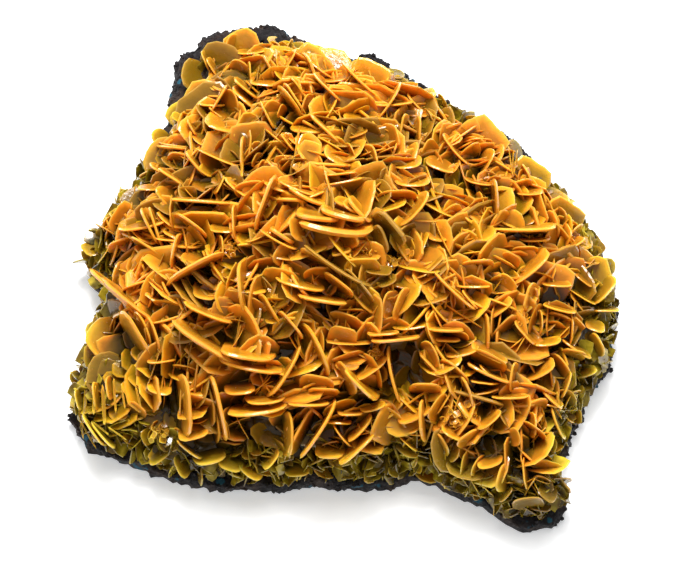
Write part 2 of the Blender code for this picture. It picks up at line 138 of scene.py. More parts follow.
# The rim as the eye sees it, anticlockwise from the near right foot: across, up and height.
RIM = (
    (40.6, -50.0, 0), (43.5, -45.5, 2), (40.2, -39.5, 4), (43.2, -33.5, 4),
    (45.6, -28.0, 4), (48.0, -21.5, 4), (52.2, -17.0, 4), (52.6, -9.0, 4),
    (54.0, -5.4, 4), (52.4, 1.0, 4), (48.4, 8.0, 4), (45.0, 13.6, 5),
    (40.6, 18.6, 5), (37.4, 23.0, 6), (31.6, 28.8, 6), (24.0, 32.6, 6),
    (16.6, 36.4, 6), (11.0, 40.8, 6), (1.0, 43.6, 6), (-10.0, 46.4, 6),
    (-17.0, 49.4, 6), (-24.0, 49.2, 6), (-30.0, 46.8, 6), (-34.2, 42.4, 6),
    (-34.4, 35.0, 6), (-38.0, 29.4, 6), (-42.0, 24.0, 5), (-43.6, 17.0, 5),
    (-47.6, 14.6, 5), (-48.8, 10.4, 5), (-53.4, 7.0, 4), (-52.4, 2.0, 4),
    (-49.0, -3.0, 4), (-50.8, -9.0, 4), (-51.2, -14.0, 4), (-55.0, -20.0, 3),
    (-52.0, -24.0, 3), (-56.0, -26.4, 2), (-55.0, -30.0, 1), (-52.0, -34.0, 0),
    (-42.0, -37.8, 0), (-34.0, -40.8, 0), (-24.4, -42.2, 0), (-16.0, -42.6, 0),
    (-6.0, -41.4, 0), (4.0, -42.6, 0), (12.0, -40.4, 0), (18.0, -41.6, 0),
    (26.0, -45.6, 0), (34.0, -50.0, 0),
)

# Bosses of bare rock: across, up and height as the eye sees them, and their radius.
BOSSES = (
    (-32.0, 42.0, 11, 5.0), (-33.0, 36.0, 9, 4.6), (-26.0, 46.0, 11, 4.6), (-21.0, 48.0, 8, 3.4),
    (-15.6, 47.4, 11, 5.0), (-10.0, 46.0, 8, 3.0), (4.4, 41.2, 11, 4.0), (9.0, 39.4, 8, 3.0),
    (-48.0, -8.6, 5, 3.2),
)

# The plates that can be told apart in the picture, a region at a time: across and down in its
# pixels, radius in mm, how open the plate looks (1 is face on, 0 edge on, below 0 its face looks
# the other way), the slant of its long axis in degrees, and its lift towards the eye in mm.
PLATES_TOP = (
    (233, 47, 3.0, -0.60, 75, 0.5), (252, 52, 3.4, 0.24, 5, 0.0), (268, 68, 4.0, -0.15, -63, 1.0),
    (263, 81, 3.0, 0.33, -6, 0.5), (289, 62, 3.0, 0.17, 57, 1.5), (249, 73, 2.6, -0.15, -86, 0.5),
    (207, 62, 2.8, 0.21, -67, 0.5), (214, 68, 2.8, 0.29, -58, 0.0), (239, 69, 2.8, -0.64, -30, -0.5),
    (246, 89, 4.2, 0.12, -41, 1.5), (268, 116, 4.4, 0.11, -62, 1.5), (219, 99, 4.6, 0.11, 58, 2.0),
    (212, 104, 4.0, 0.12, -4, 1.0), (217, 113, 2.6, 0.15, -38, 1.0), (229, 122, 6.4, 0.41, -20, 0.0),
    (230, 103, 3.2, -0.56, -72, 0.5), (248, 97, 4.0, 0.30, -38, 0.0), (222, 86, 2.4, 0.42, -15, 0.0),
    (272, 112, 2.8, -0.71, 58, 0.5), (282, 112, 2.2, -0.36, 68, 0.5),
    (289, 103, 4.6, -0.13, -54, 1.0), (294, 100, 4.2, -0.14, -56, 0.7),
    (304, 88, 3.6, -0.44, 4, 0.0), (308, 105, 2.8, -0.36, 72, 0.5), (328, 89, 6.0, 0.10, -46, 1.5),
    (321, 69, 3.6, 0.19, -36, 1.0), (326, 67, 2.8, 0.71, -40, -0.5), (364, 84, 6.4, 0.11, -41, 1.5),
    (337, 79, 2.8, 0.29, 10, 0.5), (308, 128, 3.8, 0.26, -2, 0.5), (328, 129, 4.8, 0.10, -43, 1.5),
    (279, 150, 2.8, -0.71, 0, -1.5), (338, 157, 3.6, 0.44, -28, 0.5), (340, 174, 4.6, 0.11, 4, 1.5),
    (342, 182, 4.2, 0.10, 10, 1.0), (257, 160, 2.4, -0.25, 62, 0.5), (262, 166, 1.8, -0.44, 60, 0.0),
    (243, 158, 4.8, 0.10, -89, 1.0), (197, 163, 4.8, 0.17, -50, 0.5),
    (194, 128, 3.0, 0.23, -60, 0.5), (288, 142, 3.0, 0.17, -55, 1.0),
    (351, 151, 2.4, -0.25, -65, 0.5), (335, 55, 2.8, 0.50, -10, -0.5),
)
PLATES_UPPER_RIGHT = (
    (393, 104, 4.6, 0.15, 3, 1.2), (388, 105, 5.6, 0.09, 57, 1.8), (361, 118, 4.0, 0.45, -15, -0.5),
    (417, 102, 3.8, 0.21, -48, 1.0), (390, 137, 4.0, -0.45, -82, 0.5),
    (405, 127, 3.0, -0.23, 80, 0.8), (416, 132, 3.4, 0.21, 87, 1.0), (408, 163, 3.2, 0.44, 8, 0.0),
    (413, 180, 3.8, 0.42, 0, 1.0), (397, 198, 4.4, -0.41, 0, 0.3), (412, 210, 5.2, 0.27, 47, 1.0),
    (357, 132, 2.4, 0.42, 20, 0.3), (372, 160, 3.6, -0.39, -75, 0.0),
    (455, 150, 4.4, 0.18, -50, 0.5), (478, 183, 3.0, 0.17, -12, 1.2),
    (494, 200, 6.2, -0.11, -86, 1.5), (393, 74, 2.6, 0.46, -10, -0.5), (505, 172, 2.8, 0.57, 0, 0.0),
    (448, 140, 3.2, 0.50, 25, 0.2), (470, 152, 3.4, -0.40, 35, 0.4), (440, 165, 3.8, 0.35, -20, 0.4),
    (430, 150, 3.0, -0.55, 60, 0.2), (485, 160, 3.0, 0.45, 60, 0.0), (475, 212, 3.4, 0.45, -35, 0.2),
    (452, 215, 3.6, -0.50, 30, 0.2), (438, 232, 3.4, 0.55, -10, 0.0), (480, 235, 3.6, 0.40, 15, 0.2),
    (500, 222, 3.0, -0.45, 50, 0.4), (515, 150, 2.6, 0.60, -60, -0.3),
    (520, 185, 2.8, -0.45, 20, 0.0),
)
PLATES_UPPER_LEFT = (
    (163, 140, 2.8, 0.71, -50, -0.5), (176, 177, 4.2, 0.14, -33, 1.2),
    (178, 160, 3.2, -0.50, -15, -0.5), (148, 187, 2.2, 0.32, 0, 0.5),
    (166, 196, 2.6, 0.69, -50, 0.3), (203, 200, 6.6, 0.09, -3, 1.5), (236, 222, 4.0, 0.11, -88, 1.2),
    (222, 228, 3.4, 0.26, -3, 0.5), (246, 223, 2.0, 0.30, 5, 0.5), (190, 226, 5.6, -0.18, -38, 0.5),
    (143, 225, 5.4, 0.19, 10, 1.0), (151, 226, 5.4, 0.08, -66, 1.5), (158, 228, 4.8, 0.08, -70, 1.0),
    (177, 250, 5.2, -0.15, 77, 1.0), (196, 238, 3.0, -0.60, -50, -0.5),
    (122, 244, 3.4, -0.35, 22, 0.5), (149, 249, 4.6, -0.13, -33, 1.0),
    (197, 270, 7.2, -0.09, 28, 1.5), (195, 257, 3.0, 0.47, -8, 0.0),
    (221, 248, 2.8, -0.21, -88, 0.5), (245, 285, 7.6, 0.11, -87, 1.0),
    (267, 204, 6.8, -0.09, 70, 1.5), (258, 238, 2.6, 0.14, 24, 1.2), (251, 189, 3.6, -0.56, 12, 0.3),
    (219, 185, 2.8, 0.21, 60, 1.0), (207, 170, 2.0, 0.50, -40, 0.0),
)
PLATES_MIDDLE = (
    (297, 188, 4.0, 0.18, -20, 1.0), (308, 198, 4.8, 0.15, -23, 1.2),
    (292, 202, 4.4, -0.18, -7, 0.6), (318, 215, 5.8, 0.21, -11, 1.5),
    (343, 212, 6.4, 0.13, -16, 1.2), (335, 227, 8.0, 0.20, -7, 0.3), (359, 210, 3.6, 0.22, -48, 1.2),
    (352, 207, 2.8, 0.43, -35, 0.8), (345, 203, 2.4, 0.50, -20, 0.5),
    (279, 241, 4.6, 0.10, -27, 1.4), (282, 236, 4.0, 0.10, -32, 1.2),
    (336, 264, 8.6, 0.07, -32, 1.8), (322, 263, 5.4, -0.15, -34, 1.2),
    (339, 285, 5.0, -0.18, -40, 1.4), (358, 287, 4.8, -0.21, -50, 0.3),
    (285, 255, 2.8, -0.71, 60, 0.0), (350, 239, 2.8, -0.57, -62, 0.5),
    (341, 251, 2.2, 0.32, 15, 0.8), (387, 230, 6.2, -0.32, -50, 1.2),
    (300, 284, 5.4, 0.17, -12, 0.5), (322, 298, 6.2, 0.15, -10, 0.8),
    (322, 275, 4.0, -0.45, 0, -1.0), (262, 285, 2.8, -0.64, -45, -0.5),
    (290, 325, 5.2, -0.15, -50, 1.0), (268, 310, 4.0, -0.20, -58, 0.8),
    (316, 349, 6.4, -0.22, -65, 0.8), (286, 372, 6.4, 0.13, 58, 1.4),
    (279, 368, 3.0, 0.40, -15, 0.3), (345, 321, 3.6, -0.61, -15, 0.0),
    (341, 340, 4.2, -0.71, -15, 0.8), (348, 363, 2.6, 0.77, 0, 0.3),
    (345, 379, 4.0, -0.30, -62, 0.8), (362, 384, 6.2, 0.16, -44, 1.2),
    (370, 368, 4.0, 0.40, 35, 0.5), (383, 332, 4.4, 0.10, 3, 1.5), (395, 338, 6.4, 0.09, 3, 1.2),
    (445, 329, 5.0, 0.12, -4, 1.2), (447, 338, 2.8, 0.18, -3, 1.0), (457, 334, 2.8, -0.29, -15, 0.6),
    (316, 386, 4.0, -0.60, -8, 0.6), (323, 394, 3.4, -0.35, 0, 1.0), (392, 375, 6.0, 0.07, -78, 1.2),
    (390, 305, 3.4, -0.47, 80, 0.3), (402, 305, 4.0, -0.35, 72, 0.5),
    (430, 285, 4.8, 0.62, -45, 0.3), (455, 291, 6.0, 0.10, -43, 1.2),
    (470, 299, 3.0, 0.17, -50, 1.0), (473, 286, 3.6, 0.12, 0, 1.0), (478, 265, 4.4, -0.27, 3, 0.6),
    (432, 256, 3.6, 0.67, 20, 0.2),
)
PLATES_RIGHT = (
    (525, 229, 7.0, 0.09, 3, 1.4), (535, 239, 3.4, 0.18, 2, 1.0), (525, 252, 2.8, -0.57, 0, 0.3),
    (530, 267, 5.4, 0.30, 42, 1.0), (510, 262, 3.0, -0.67, -30, -0.3),
    (556, 283, 3.4, 0.24, -2, 1.0), (566, 272, 2.4, 0.42, -50, 0.3), (559, 308, 3.8, 0.21, -14, 1.2),
    (560, 317, 2.6, -0.31, -20, 0.3), (604, 309, 3.4, 0.12, 0, 1.2), (602, 290, 4.0, 0.40, 45, 0.5),
    (585, 280, 2.4, 0.33, -35, 0.5), (541, 322, 2.6, 0.12, 90, 0.8), (531, 298, 4.2, -0.38, 75, 0.8),
    (526, 332, 3.6, 0.22, -48, 0.8), (546, 342, 3.2, 0.31, 6, 0.8), (576, 348, 3.8, 0.18, -32, 1.0),
    (595, 326, 3.0, 0.40, -15, 0.5), (596, 345, 2.8, -0.36, -60, 0.3),
    (573, 355, 3.6, -0.33, -12, 0.5), (505, 285, 2.8, -0.71, -50, 0.3),
    (497, 307, 3.6, 0.56, 40, 0.3), (530, 192, 3.6, 0.28, 3, 0.6), (570, 245, 3.6, 0.22, 30, 0.5),
    (590, 262, 2.0, 0.30, -10, 0.5),
)
PLATES_LOWER_LEFT = (
    (124, 297, 9.2, 0.06, -42, 1.2), (133, 303, 8.4, 0.07, -38, 0.9),
    (121, 273, 2.6, -0.54, 80, 0.3), (133, 337, 6.0, -0.27, -60, 0.8),
    (144, 330, 4.4, -0.27, -68, 0.6), (153, 335, 4.0, -0.30, -72, 0.4),
    (208, 311, 7.2, 0.17, -24, 1.2), (212, 344, 9.4, 0.17, -32, 1.2),
    (248, 352, 7.6, 0.21, -10, 0.8), (250, 364, 7.2, 0.19, -10, 0.3),
    (205, 291, 3.6, 0.44, -15, 0.2), (162, 361, 4.0, 0.11, 5, 0.8), (160, 387, 3.6, 0.44, -8, 0.5),
    (182, 405, 7.2, -0.28, -85, 0.8), (199, 391, 2.4, 0.33, 0, 0.3),
    (217, 407, 7.6, -0.13, -76, 1.2), (193, 432, 3.8, 0.42, 15, 0.3),
    (190, 450, 3.4, 0.12, -35, 0.8), (135, 412, 3.2, -0.63, -40, -0.5),
    (240, 388, 4.4, 0.32, 8, 0.5), (258, 408, 6.6, 0.24, 8, 1.0), (265, 399, 4.4, 0.23, 4, 1.2),
    (308, 403, 4.8, 0.10, 0, 1.2), (286, 434, 5.0, -0.32, -88, 0.0), (303, 431, 5.6, -0.25, 62, 0.3),
    (320, 428, 7.4, 0.09, 59, 1.6), (350, 413, 3.2, 0.14, 0, 1.0), (340, 421, 2.6, 0.15, 0, 0.8),
    (373, 407, 2.8, 0.29, 18, 1.0), (360, 428, 3.8, 0.26, 48, 1.0), (355, 446, 5.2, 0.23, 42, 1.0),
    (342, 436, 3.2, 0.11, -50, 1.0), (330, 450, 4.2, 0.43, -5, 0.0), (387, 425, 4.4, -0.64, 68, 0.8),
    (413, 413, 3.8, 0.55, 24, 0.5), (424, 420, 4.6, 0.13, -88, 1.3), (80, 400, 3.0, 0.30, -75, 0.3),
    (95, 430, 4.2, 0.12, -55, 0.6), (104, 434, 4.0, 0.14, -48, 0.5), (210, 457, 3.6, 0.50, 15, 0.2),
    (232, 462, 2.6, 0.70, -20, 0.4), (297, 470, 2.6, 0.65, 10, 0.4), (110, 388, 3.4, 0.20, -80, 0.4),
    (98, 396, 3.2, 0.22, -84, 0.3), (160, 455, 2.8, 0.55, 40, 0.0), (250, 470, 3.0, 0.50, -35, 0.2),
    (270, 458, 3.2, 0.45, 50, 0.2), (182, 466, 2.6, 0.60, -60, 0.0),
)
PLATES_LOWER_RIGHT = (
    (430, 355, 3.4, -0.41, -65, 0.6), (490, 350, 4.4, 0.32, -26, 1.0),
    (488, 362, 4.4, -0.41, -25, 0.3), (487, 373, 5.0, 0.09, -25, 1.2),
    (488, 372, 2.4, 0.17, -38, 1.0), (514, 377, 4.0, -0.25, 78, 1.0), (509, 396, 3.8, 0.13, 0, 1.3),
    (425, 390, 4.2, -0.38, -8, 0.8), (488, 419, 4.0, 0.30, 38, 1.2), (531, 425, 3.4, 0.29, 85, 1.0),
    (514, 437, 2.6, -0.54, -75, 0.6), (557, 423, 3.8, 0.14, -68, 1.2),
    (565, 385, 3.2, 0.19, 72, 1.0), (552, 397, 3.4, 0.15, -45, 1.0), (553, 404, 2.8, 0.21, -10, 0.8),
    (490, 462, 2.8, 0.50, 15, 0.6), (478, 465, 2.6, -0.46, 60, 0.2),
    (440, 445, 3.0, -0.33, -60, 0.5), (505, 478, 3.2, -0.50, 80, 0.2),
    (528, 503, 4.0, -0.35, 5, 0.0), (540, 518, 3.6, 0.39, -10, -0.3),
    (548, 492, 2.8, 0.64, -40, -0.3), (506, 494, 2.0, 0.30, 50, 0.8), (445, 362, 3.8, 0.45, 30, 0.4),
    (455, 372, 4.0, -0.30, -40, 0.6), (462, 352, 3.6, 0.30, 12, 0.8),
    (440, 408, 3.4, -0.55, 55, 0.5), (455, 430, 3.4, 0.50, -25, 0.5),
    (470, 440, 3.0, -0.50, 40, 0.4), (540, 370, 3.6, 0.40, 30, 0.6),
    (560, 365, 3.2, -0.45, -55, 0.5), (585, 372, 2.6, 0.50, 20, 0.2),
    (535, 408, 3.0, -0.50, 20, 0.5),
)
PLATES_BESIDE_BOOK = (
    (380, 240, 3.2, -0.50, -65, 0.6), (379, 270, 2.8, 0.45, -5, 0.8), (386, 280, 2.4, 0.50, 20, 0.6),
)
LISTED_PLATES = (
    PLATES_TOP + PLATES_UPPER_RIGHT + PLATES_UPPER_LEFT + PLATES_MIDDLE + PLATES_RIGHT
    + PLATES_LOWER_LEFT + PLATES_LOWER_RIGHT + PLATES_BESIDE_BOOK
)

# Which of them are dark with age: across and down.
AGED_PLATES = (
    (387, 230), (380, 240), (379, 270), (386, 280), (358, 287), (336, 264), (262, 285),
)

# How many sampled places of leading plates a smaller plate may hide, how near to a place it must
# pass to hide it, and how much nearer to the eye it must be, in mm.
ALLOWED_HIDDEN = 4
HIDING_REACH = 0.8
HIDING_LEAD = 0.2
# How far a plate that hides more is sunk, in mm, before it is left out.
SINKINGS = (0, 0.9, 1.8, 2.7, 3.6)
# Rings of places that stand for a whole plate: share of its radius, and number of places.
LEADING_RINGS = ((0, 1), (0.45, 5), (0.85, 10))
SMALLER_RINGS = ((0, 1), (0.5, 5), (0.95, 10))

# Clusters of tiny bright crystals: across and down in the picture's pixels, and radius in mm.
GRANULE_CLUSTERS = (
    (366, 253, 2.6), (285, 288, 3.0), (455, 415, 2.8), (278, 302, 2.2), (392, 262, 1.6),
    (345, 275, 1.6), (470, 405, 2.0), (405, 258, 1.6), (232, 250, 1.6), (300, 168, 2.0),
    (520, 318, 1.8), (160, 430, 2.0), (375, 352, 1.6),
)

# Dark hollows between the plates: across and down in the picture's pixels, and radius in mm.
HOLLOWS = (
    (383, 252, 2.4), (397, 372, 3.2), (283, 350, 2.2), (165, 415, 3.0), (200, 440, 3.4),
    (220, 443, 2.6), (130, 367, 2.4), (265, 426, 3.0), (492, 435, 2.8), (363, 98, 2.2),
    (463, 196, 2.0), (104, 312, 2.0), (240, 210, 1.6), (318, 262, 1.8), (140, 338, 2.4),
    (250, 398, 2.2), (302, 440, 2.4), (330, 300, 1.8), (418, 342, 2.2), (470, 348, 2.2),
    (352, 388, 1.8), (176, 250, 1.6), (208, 164, 1.8), (300, 104, 1.6), (430, 165, 1.8),
    (520, 240, 1.8), (560, 300, 1.8), (540, 348, 2.0), (588, 336, 1.8), (258, 258, 1.8),
)

# Needles and narrow laths: both ends in the picture's pixels, and width in mm.
NEEDLES = (
    (88, 378, 84, 424, 0.9), (96, 380, 94, 418, 0.7), (103, 382, 106, 428, 0.8),
    (114, 376, 117, 414, 0.6), (122, 384, 126, 410, 0.5), (80, 418, 98, 450, 0.5),
    (86, 416, 104, 444, 0.4), (92, 420, 112, 436, 0.4), (78, 398, 84, 440, 0.5),
    (108, 426, 128, 440, 0.4), (136, 384, 142, 410, 0.5), (508, 146, 512, 178, 0.4),
    (513, 148, 511, 180, 0.3), (517, 150, 513, 176, 0.3), (142, 262, 154, 292, 0.5),
    (150, 262, 156, 290, 0.4), (338, 108, 343, 132, 0.4), (243, 146, 242, 182, 0.6),
    (600, 252, 588, 266, 0.3), (596, 262, 582, 270, 0.3), (545, 392, 562, 420, 0.5),
    (556, 388, 560, 414, 0.4), (452, 398, 468, 420, 0.4), (446, 402, 462, 426, 0.4),
)

# The margin's olive turns to orange over this height in mm, and by this share over its width.
OLIVE_EASE = 7
OLIVE_INWARD = 0.7
# How high the olive margin reaches, in mm, by the turn about the Z axis.
OLIVE_HEIGHTS = (
    np.radians((-180, -150, -110, -70, -35, 0, 30, 60, 80, 105, 140, 180)),
    np.array((12.5, 12.5, 12, 12, 12, 12, 14, 16.5, 16.5, 14.5, 14, 12.5)),
)

# How much higher the plates stand on the crown, in mm, and how far round it.
CROWN_LIFT = 3.2
CROWN_SPREAD = 15.0

# The dark tail at the lower right: right of and below these, in the picture's mm.
TAIL_ACROSS = 27.0
TAIL_UP = -38.5
# The book of thick plates on the crown: its middle, half its height and how much wider than high
# it is, in the picture's mm, and how thick its plates are.
BOOK_ACROSS = -3.0
BOOK_UP = 12.0
BOOK_REACH = 7.5
BOOK_STRETCH = 1.6
BOOK_THICKNESS = 1.7
# The tone of plates that are dark with age; tones run to 1, which is young and yellow.
AGED_TONE = 0.04

# A crust's plates are copies of this many, and their faces meet keenly above this angle.
TEMPLATES = 14
KEEN_ANGLE = math.radians(28)
# How far a plate's edge stays inside the solids' box above, and may pass it sideways, in mm.
PLATE_MARGIN = 0.3
SIDE_SLACK = 1.0

# How plates that grew together stand, and what share of the clusters stands so.
CLUSTER_KINDS = {"rose": 0.26, "book": 0.2, "box": 0.54}

# The layers of smaller plates: seed, sides of a plate, depth under the dome in mm, size against
# the sizes' radii, how much the depth varies in mm, and spacing against the sizes' spacing.
Layer = namedtuple("Layer", "name seed sides depth size deviation apart")
LAYERS = (
    Layer("deep", 12, 12, 3.0, 1.25, 0.7, 1.1),
    Layer("upper", 13, 14, 1.9, 1.2, 0.9, 1.25),
    Layer("top", 11, 14, 1.0, 0.75, 0.9, 1.8),
)

# The studio lights: name, place and size in m, power in W, and whether the faces reflect them.
LIGHTS = (
    ("key", (-0.03, 0.32, 0.66), 0.2, 4.1, True),
    ("softbox", (0.0, 0.16, 0.46), 0.36, 2.4, False),
)
STUDIO_BRIGHTNESS = 0.36
PAPER_HALF_WIDTH = 6

# How wide the materials' patterns are, in mm: the crystals' colour zones, the ripples of their
# growth steps, which are finer on the real ones than the render can show, the clouds in the clear
# plates, the rock's rusty patches, its coarse grain, its specks of tarnish, and the paper's fibres.
ZONE_WIDTH = 2.38
RIPPLE_WIDTH = 0.667
CLOUD_WIDTH = 3.33
PATCH_WIDTH = 5.26
ROCK_GRAIN_WIDTH = 0.769
TARNISH_WIDTH = 3.03
FIBRE_WIDTH = 1.11

# The sockets of a Mix node that mixes colours.
SHARE, FIRST, SECOND, MIXED = 0, 6, 7, 2


def linear(hex_colour):
    """An sRGB colour such as #D98F22 as a linear colour with alpha 1."""
    parts = [int(hex_colour[i:i + 2], 16) / 255 for i in (1, 3, 5)]
    return (*(c / 12.92 if c <= 0.04045 else ((c + 0.055) / 1.055) ** 2.4 for c in parts), 1)


def eased(share):
    """0 below 0, 1 above 1, and smooth between."""
    share = min(max(share, 0), 1)
    return share * share * (3 - 2 * share)


def foot_of(across, up, height):
    """The point at this height that the eye sees there."""
    way = TARGET + ACROSS * across + UP_VIEW * up - EYE
    return EYE + way * ((height - EYE.z) / way.z)


def rim_table():
    """The rim as (turn, radius) about the Z axis, sorted by turn, with its ends repeated."""
    points = [foot_of(*seen) for seen in RIM]
    table = sorted((math.atan2(p.y, p.x), math.hypot(p.x, p.y)) for p in points)
    first, last = table[0], table[-1]
    return [(last[0] - math.tau, last[1]), *table, (first[0] + math.tau, first[1])]


RIM_TURNS, RIM_RADII = (np.array(column) for column in zip(*rim_table()))


def rim_radius(turn):
    return float(np.interp(turn, RIM_TURNS, RIM_RADII))


def dome_height(x, y):
    """How high the dome stands over this place, before it falls off to the rim."""
    away = (Vector((x, y)) - DOME_CENTRE).length / DOME_SPREAD
    return SHOULDER_HEIGHT + DOME_RISE * math.exp(-away * away)


def level(point):
    """1 on the dome, less inside it and more outside."""
    out = math.hypot(point.x, point.y) / rim_radius(math.atan2(point.y, point.x))
    high = max(point.z, 0) / dome_height(point.x, point.y)
    return (out ** DOME_POWER + high ** DOME_POWER) ** (1 / DOME_POWER)


def on_dome(across, up):
    """Where the eye's ray through this place meets the dome, or passes closest to it."""
    way = (TARGET + ACROSS * across + UP_VIEW * up - EYE).normalized()
    nearest = None
    for step in range(RAY_STEPS):
        point = EYE + way * (EYE_DISTANCE - RAY_AHEAD + step * RAY_STEP)
        if point.z < RAY_END_HEIGHT:
            break
        here = level(point)
        if nearest is None or here < nearest[0]:
            nearest = (here, point)
        if here <= 1:
            break
    return nearest[1]


def outward_at(point):
    """The dome's outward normal near this point."""
    step = 0.5
    axes = (Vector((step, 0, 0)), Vector((0, step, 0)), Vector((0, 0, step)))
    slope = Vector([level(point + axis) - level(point - axis) for axis in axes])
    return slope.normalized()


def bareness(turn, height):
    """1 where the rock is bare, 0 where crystals cover it."""
    inside = min(turn - BARE_FROM, BARE_TO - turn) / BARE_TURN_EASE
    return eased(inside) * eased((BARE_TOP - height) / BARE_EASE)


def rock_depth(turn, height):
    """How deep the rock lies under the dome, less so at its foot and where it is bare."""
    covered = ROCK_DEPTH + (BARE_DEPTH - ROCK_DEPTH) * bareness(turn, height)
    footed = eased((height - FOOT_HEIGHT) / FOOT_EASE)
    return FOOT_INSET + (covered - FOOT_INSET) * footed


def druse_depth(turn, height):
    """How deep the druse lies under the dome; it dives under the rock where that is bare."""
    depth = bpy.context.scene.specimen_sizes.mm("druse_depth")
    return depth + (ROCK_DEPTH + 2 - depth) * bareness(turn, height)


def under_dome(way, depth_at):
    """The point as deep under the dome as depth_at says, this way from the middle of the base."""
    turn = math.atan2(way.y, way.x)
    high = max(way.z, 0) ** (2 / DOME_POWER)
    depth = depth_at(turn, high * SHOULDER_HEIGHT)
    out = math.hypot(way.x, way.y) ** (2 / DOME_POWER) * (rim_radius(turn) - depth)
    place = Vector((math.cos(turn) * out, math.sin(turn) * out, 0))
    place.z = high * (dome_height(place.x, place.y) - depth)
    return place


def rises(points):
    """How far each point stands out of the dome, in mm, for an array of points in mm."""
    x, y, z = points.T
    turns = np.arctan2(y, x)
    out = np.hypot(x, y) / np.interp(turns, RIM_TURNS, RIM_RADII)
    away = np.hypot(x - DOME_CENTRE.x, y - DOME_CENTRE.y) / DOME_SPREAD
    high = np.maximum(z, 0) / (SHOULDER_HEIGHT + DOME_RISE * np.exp(-away * away))
    levels = (out ** DOME_POWER + high ** DOME_POWER) ** (1 / DOME_POWER)
    return np.linalg.norm(points, axis=1) * (1 - 1 / np.maximum(levels, 0.05))


def ripeness(points):
    """1 where the crystals are full orange, 0 at the olive margin of the specimen."""
    x, y, z = points.T
    turns = np.arctan2(y, x)
    reach = np.interp(turns, RIM_TURNS, RIM_RADII)
    inside = (reach - np.hypot(x, y)) / bpy.context.scene.specimen_sizes.mm("margin_width")
    above = (z - np.interp(turns, *OLIVE_HEIGHTS)) / OLIVE_EASE
    return np.clip(inside * OLIVE_INWARD + above, 0, 1)


def ripe_at(place):
    return float(ripeness(np.array([place]))[0])


def crown_lift(place):
    """How much higher the plates stand here, on and round the crown."""
    away = math.hypot(place.x - DOME_CENTRE.x, place.y - DOME_CENTRE.y) / CROWN_SPREAD
    return CROWN_LIFT * math.exp(-away * away)


def bare_at(place):
    """How bare the rock is at this place."""
    return bareness(math.atan2(place.y, place.x), place.z)


def scale_of(width):
    """The scale of a noise whose features are this wide, in mm."""
    return 1 / (width * MM)


def add_node(tree, kind, settings=None, inputs=None):
    """Adds a node with these settings, and each input either linked or set."""
    node = tree.nodes.new(kind)
    for key, value in (settings or {}).items():
        setattr(node, key, value)
    for key, value in (inputs or {}).items():
        if isinstance(value, bpy.types.NodeSocket):
            tree.links.new(value, node.inputs[key])
        else:
            node.inputs[key].default_value = value
    return node


def set_ramp(node, stops):
    """Gives a colour ramp these (position, colour) stops."""
    elements = node.color_ramp.elements
    while len(elements) < len(stops):
        elements.new(0.5)
    for element, (position, colour) in zip(elements, stops):
        element.position = position
        element.color = colour


def new_material(name):
    """A material with an empty tree but for its output."""
    material = bpy.data.materials.new(name)
    material.use_nodes = True
    tree = material.node_tree
    tree.nodes.clear()
    return material, tree, add_node(tree, "ShaderNodeOutputMaterial")


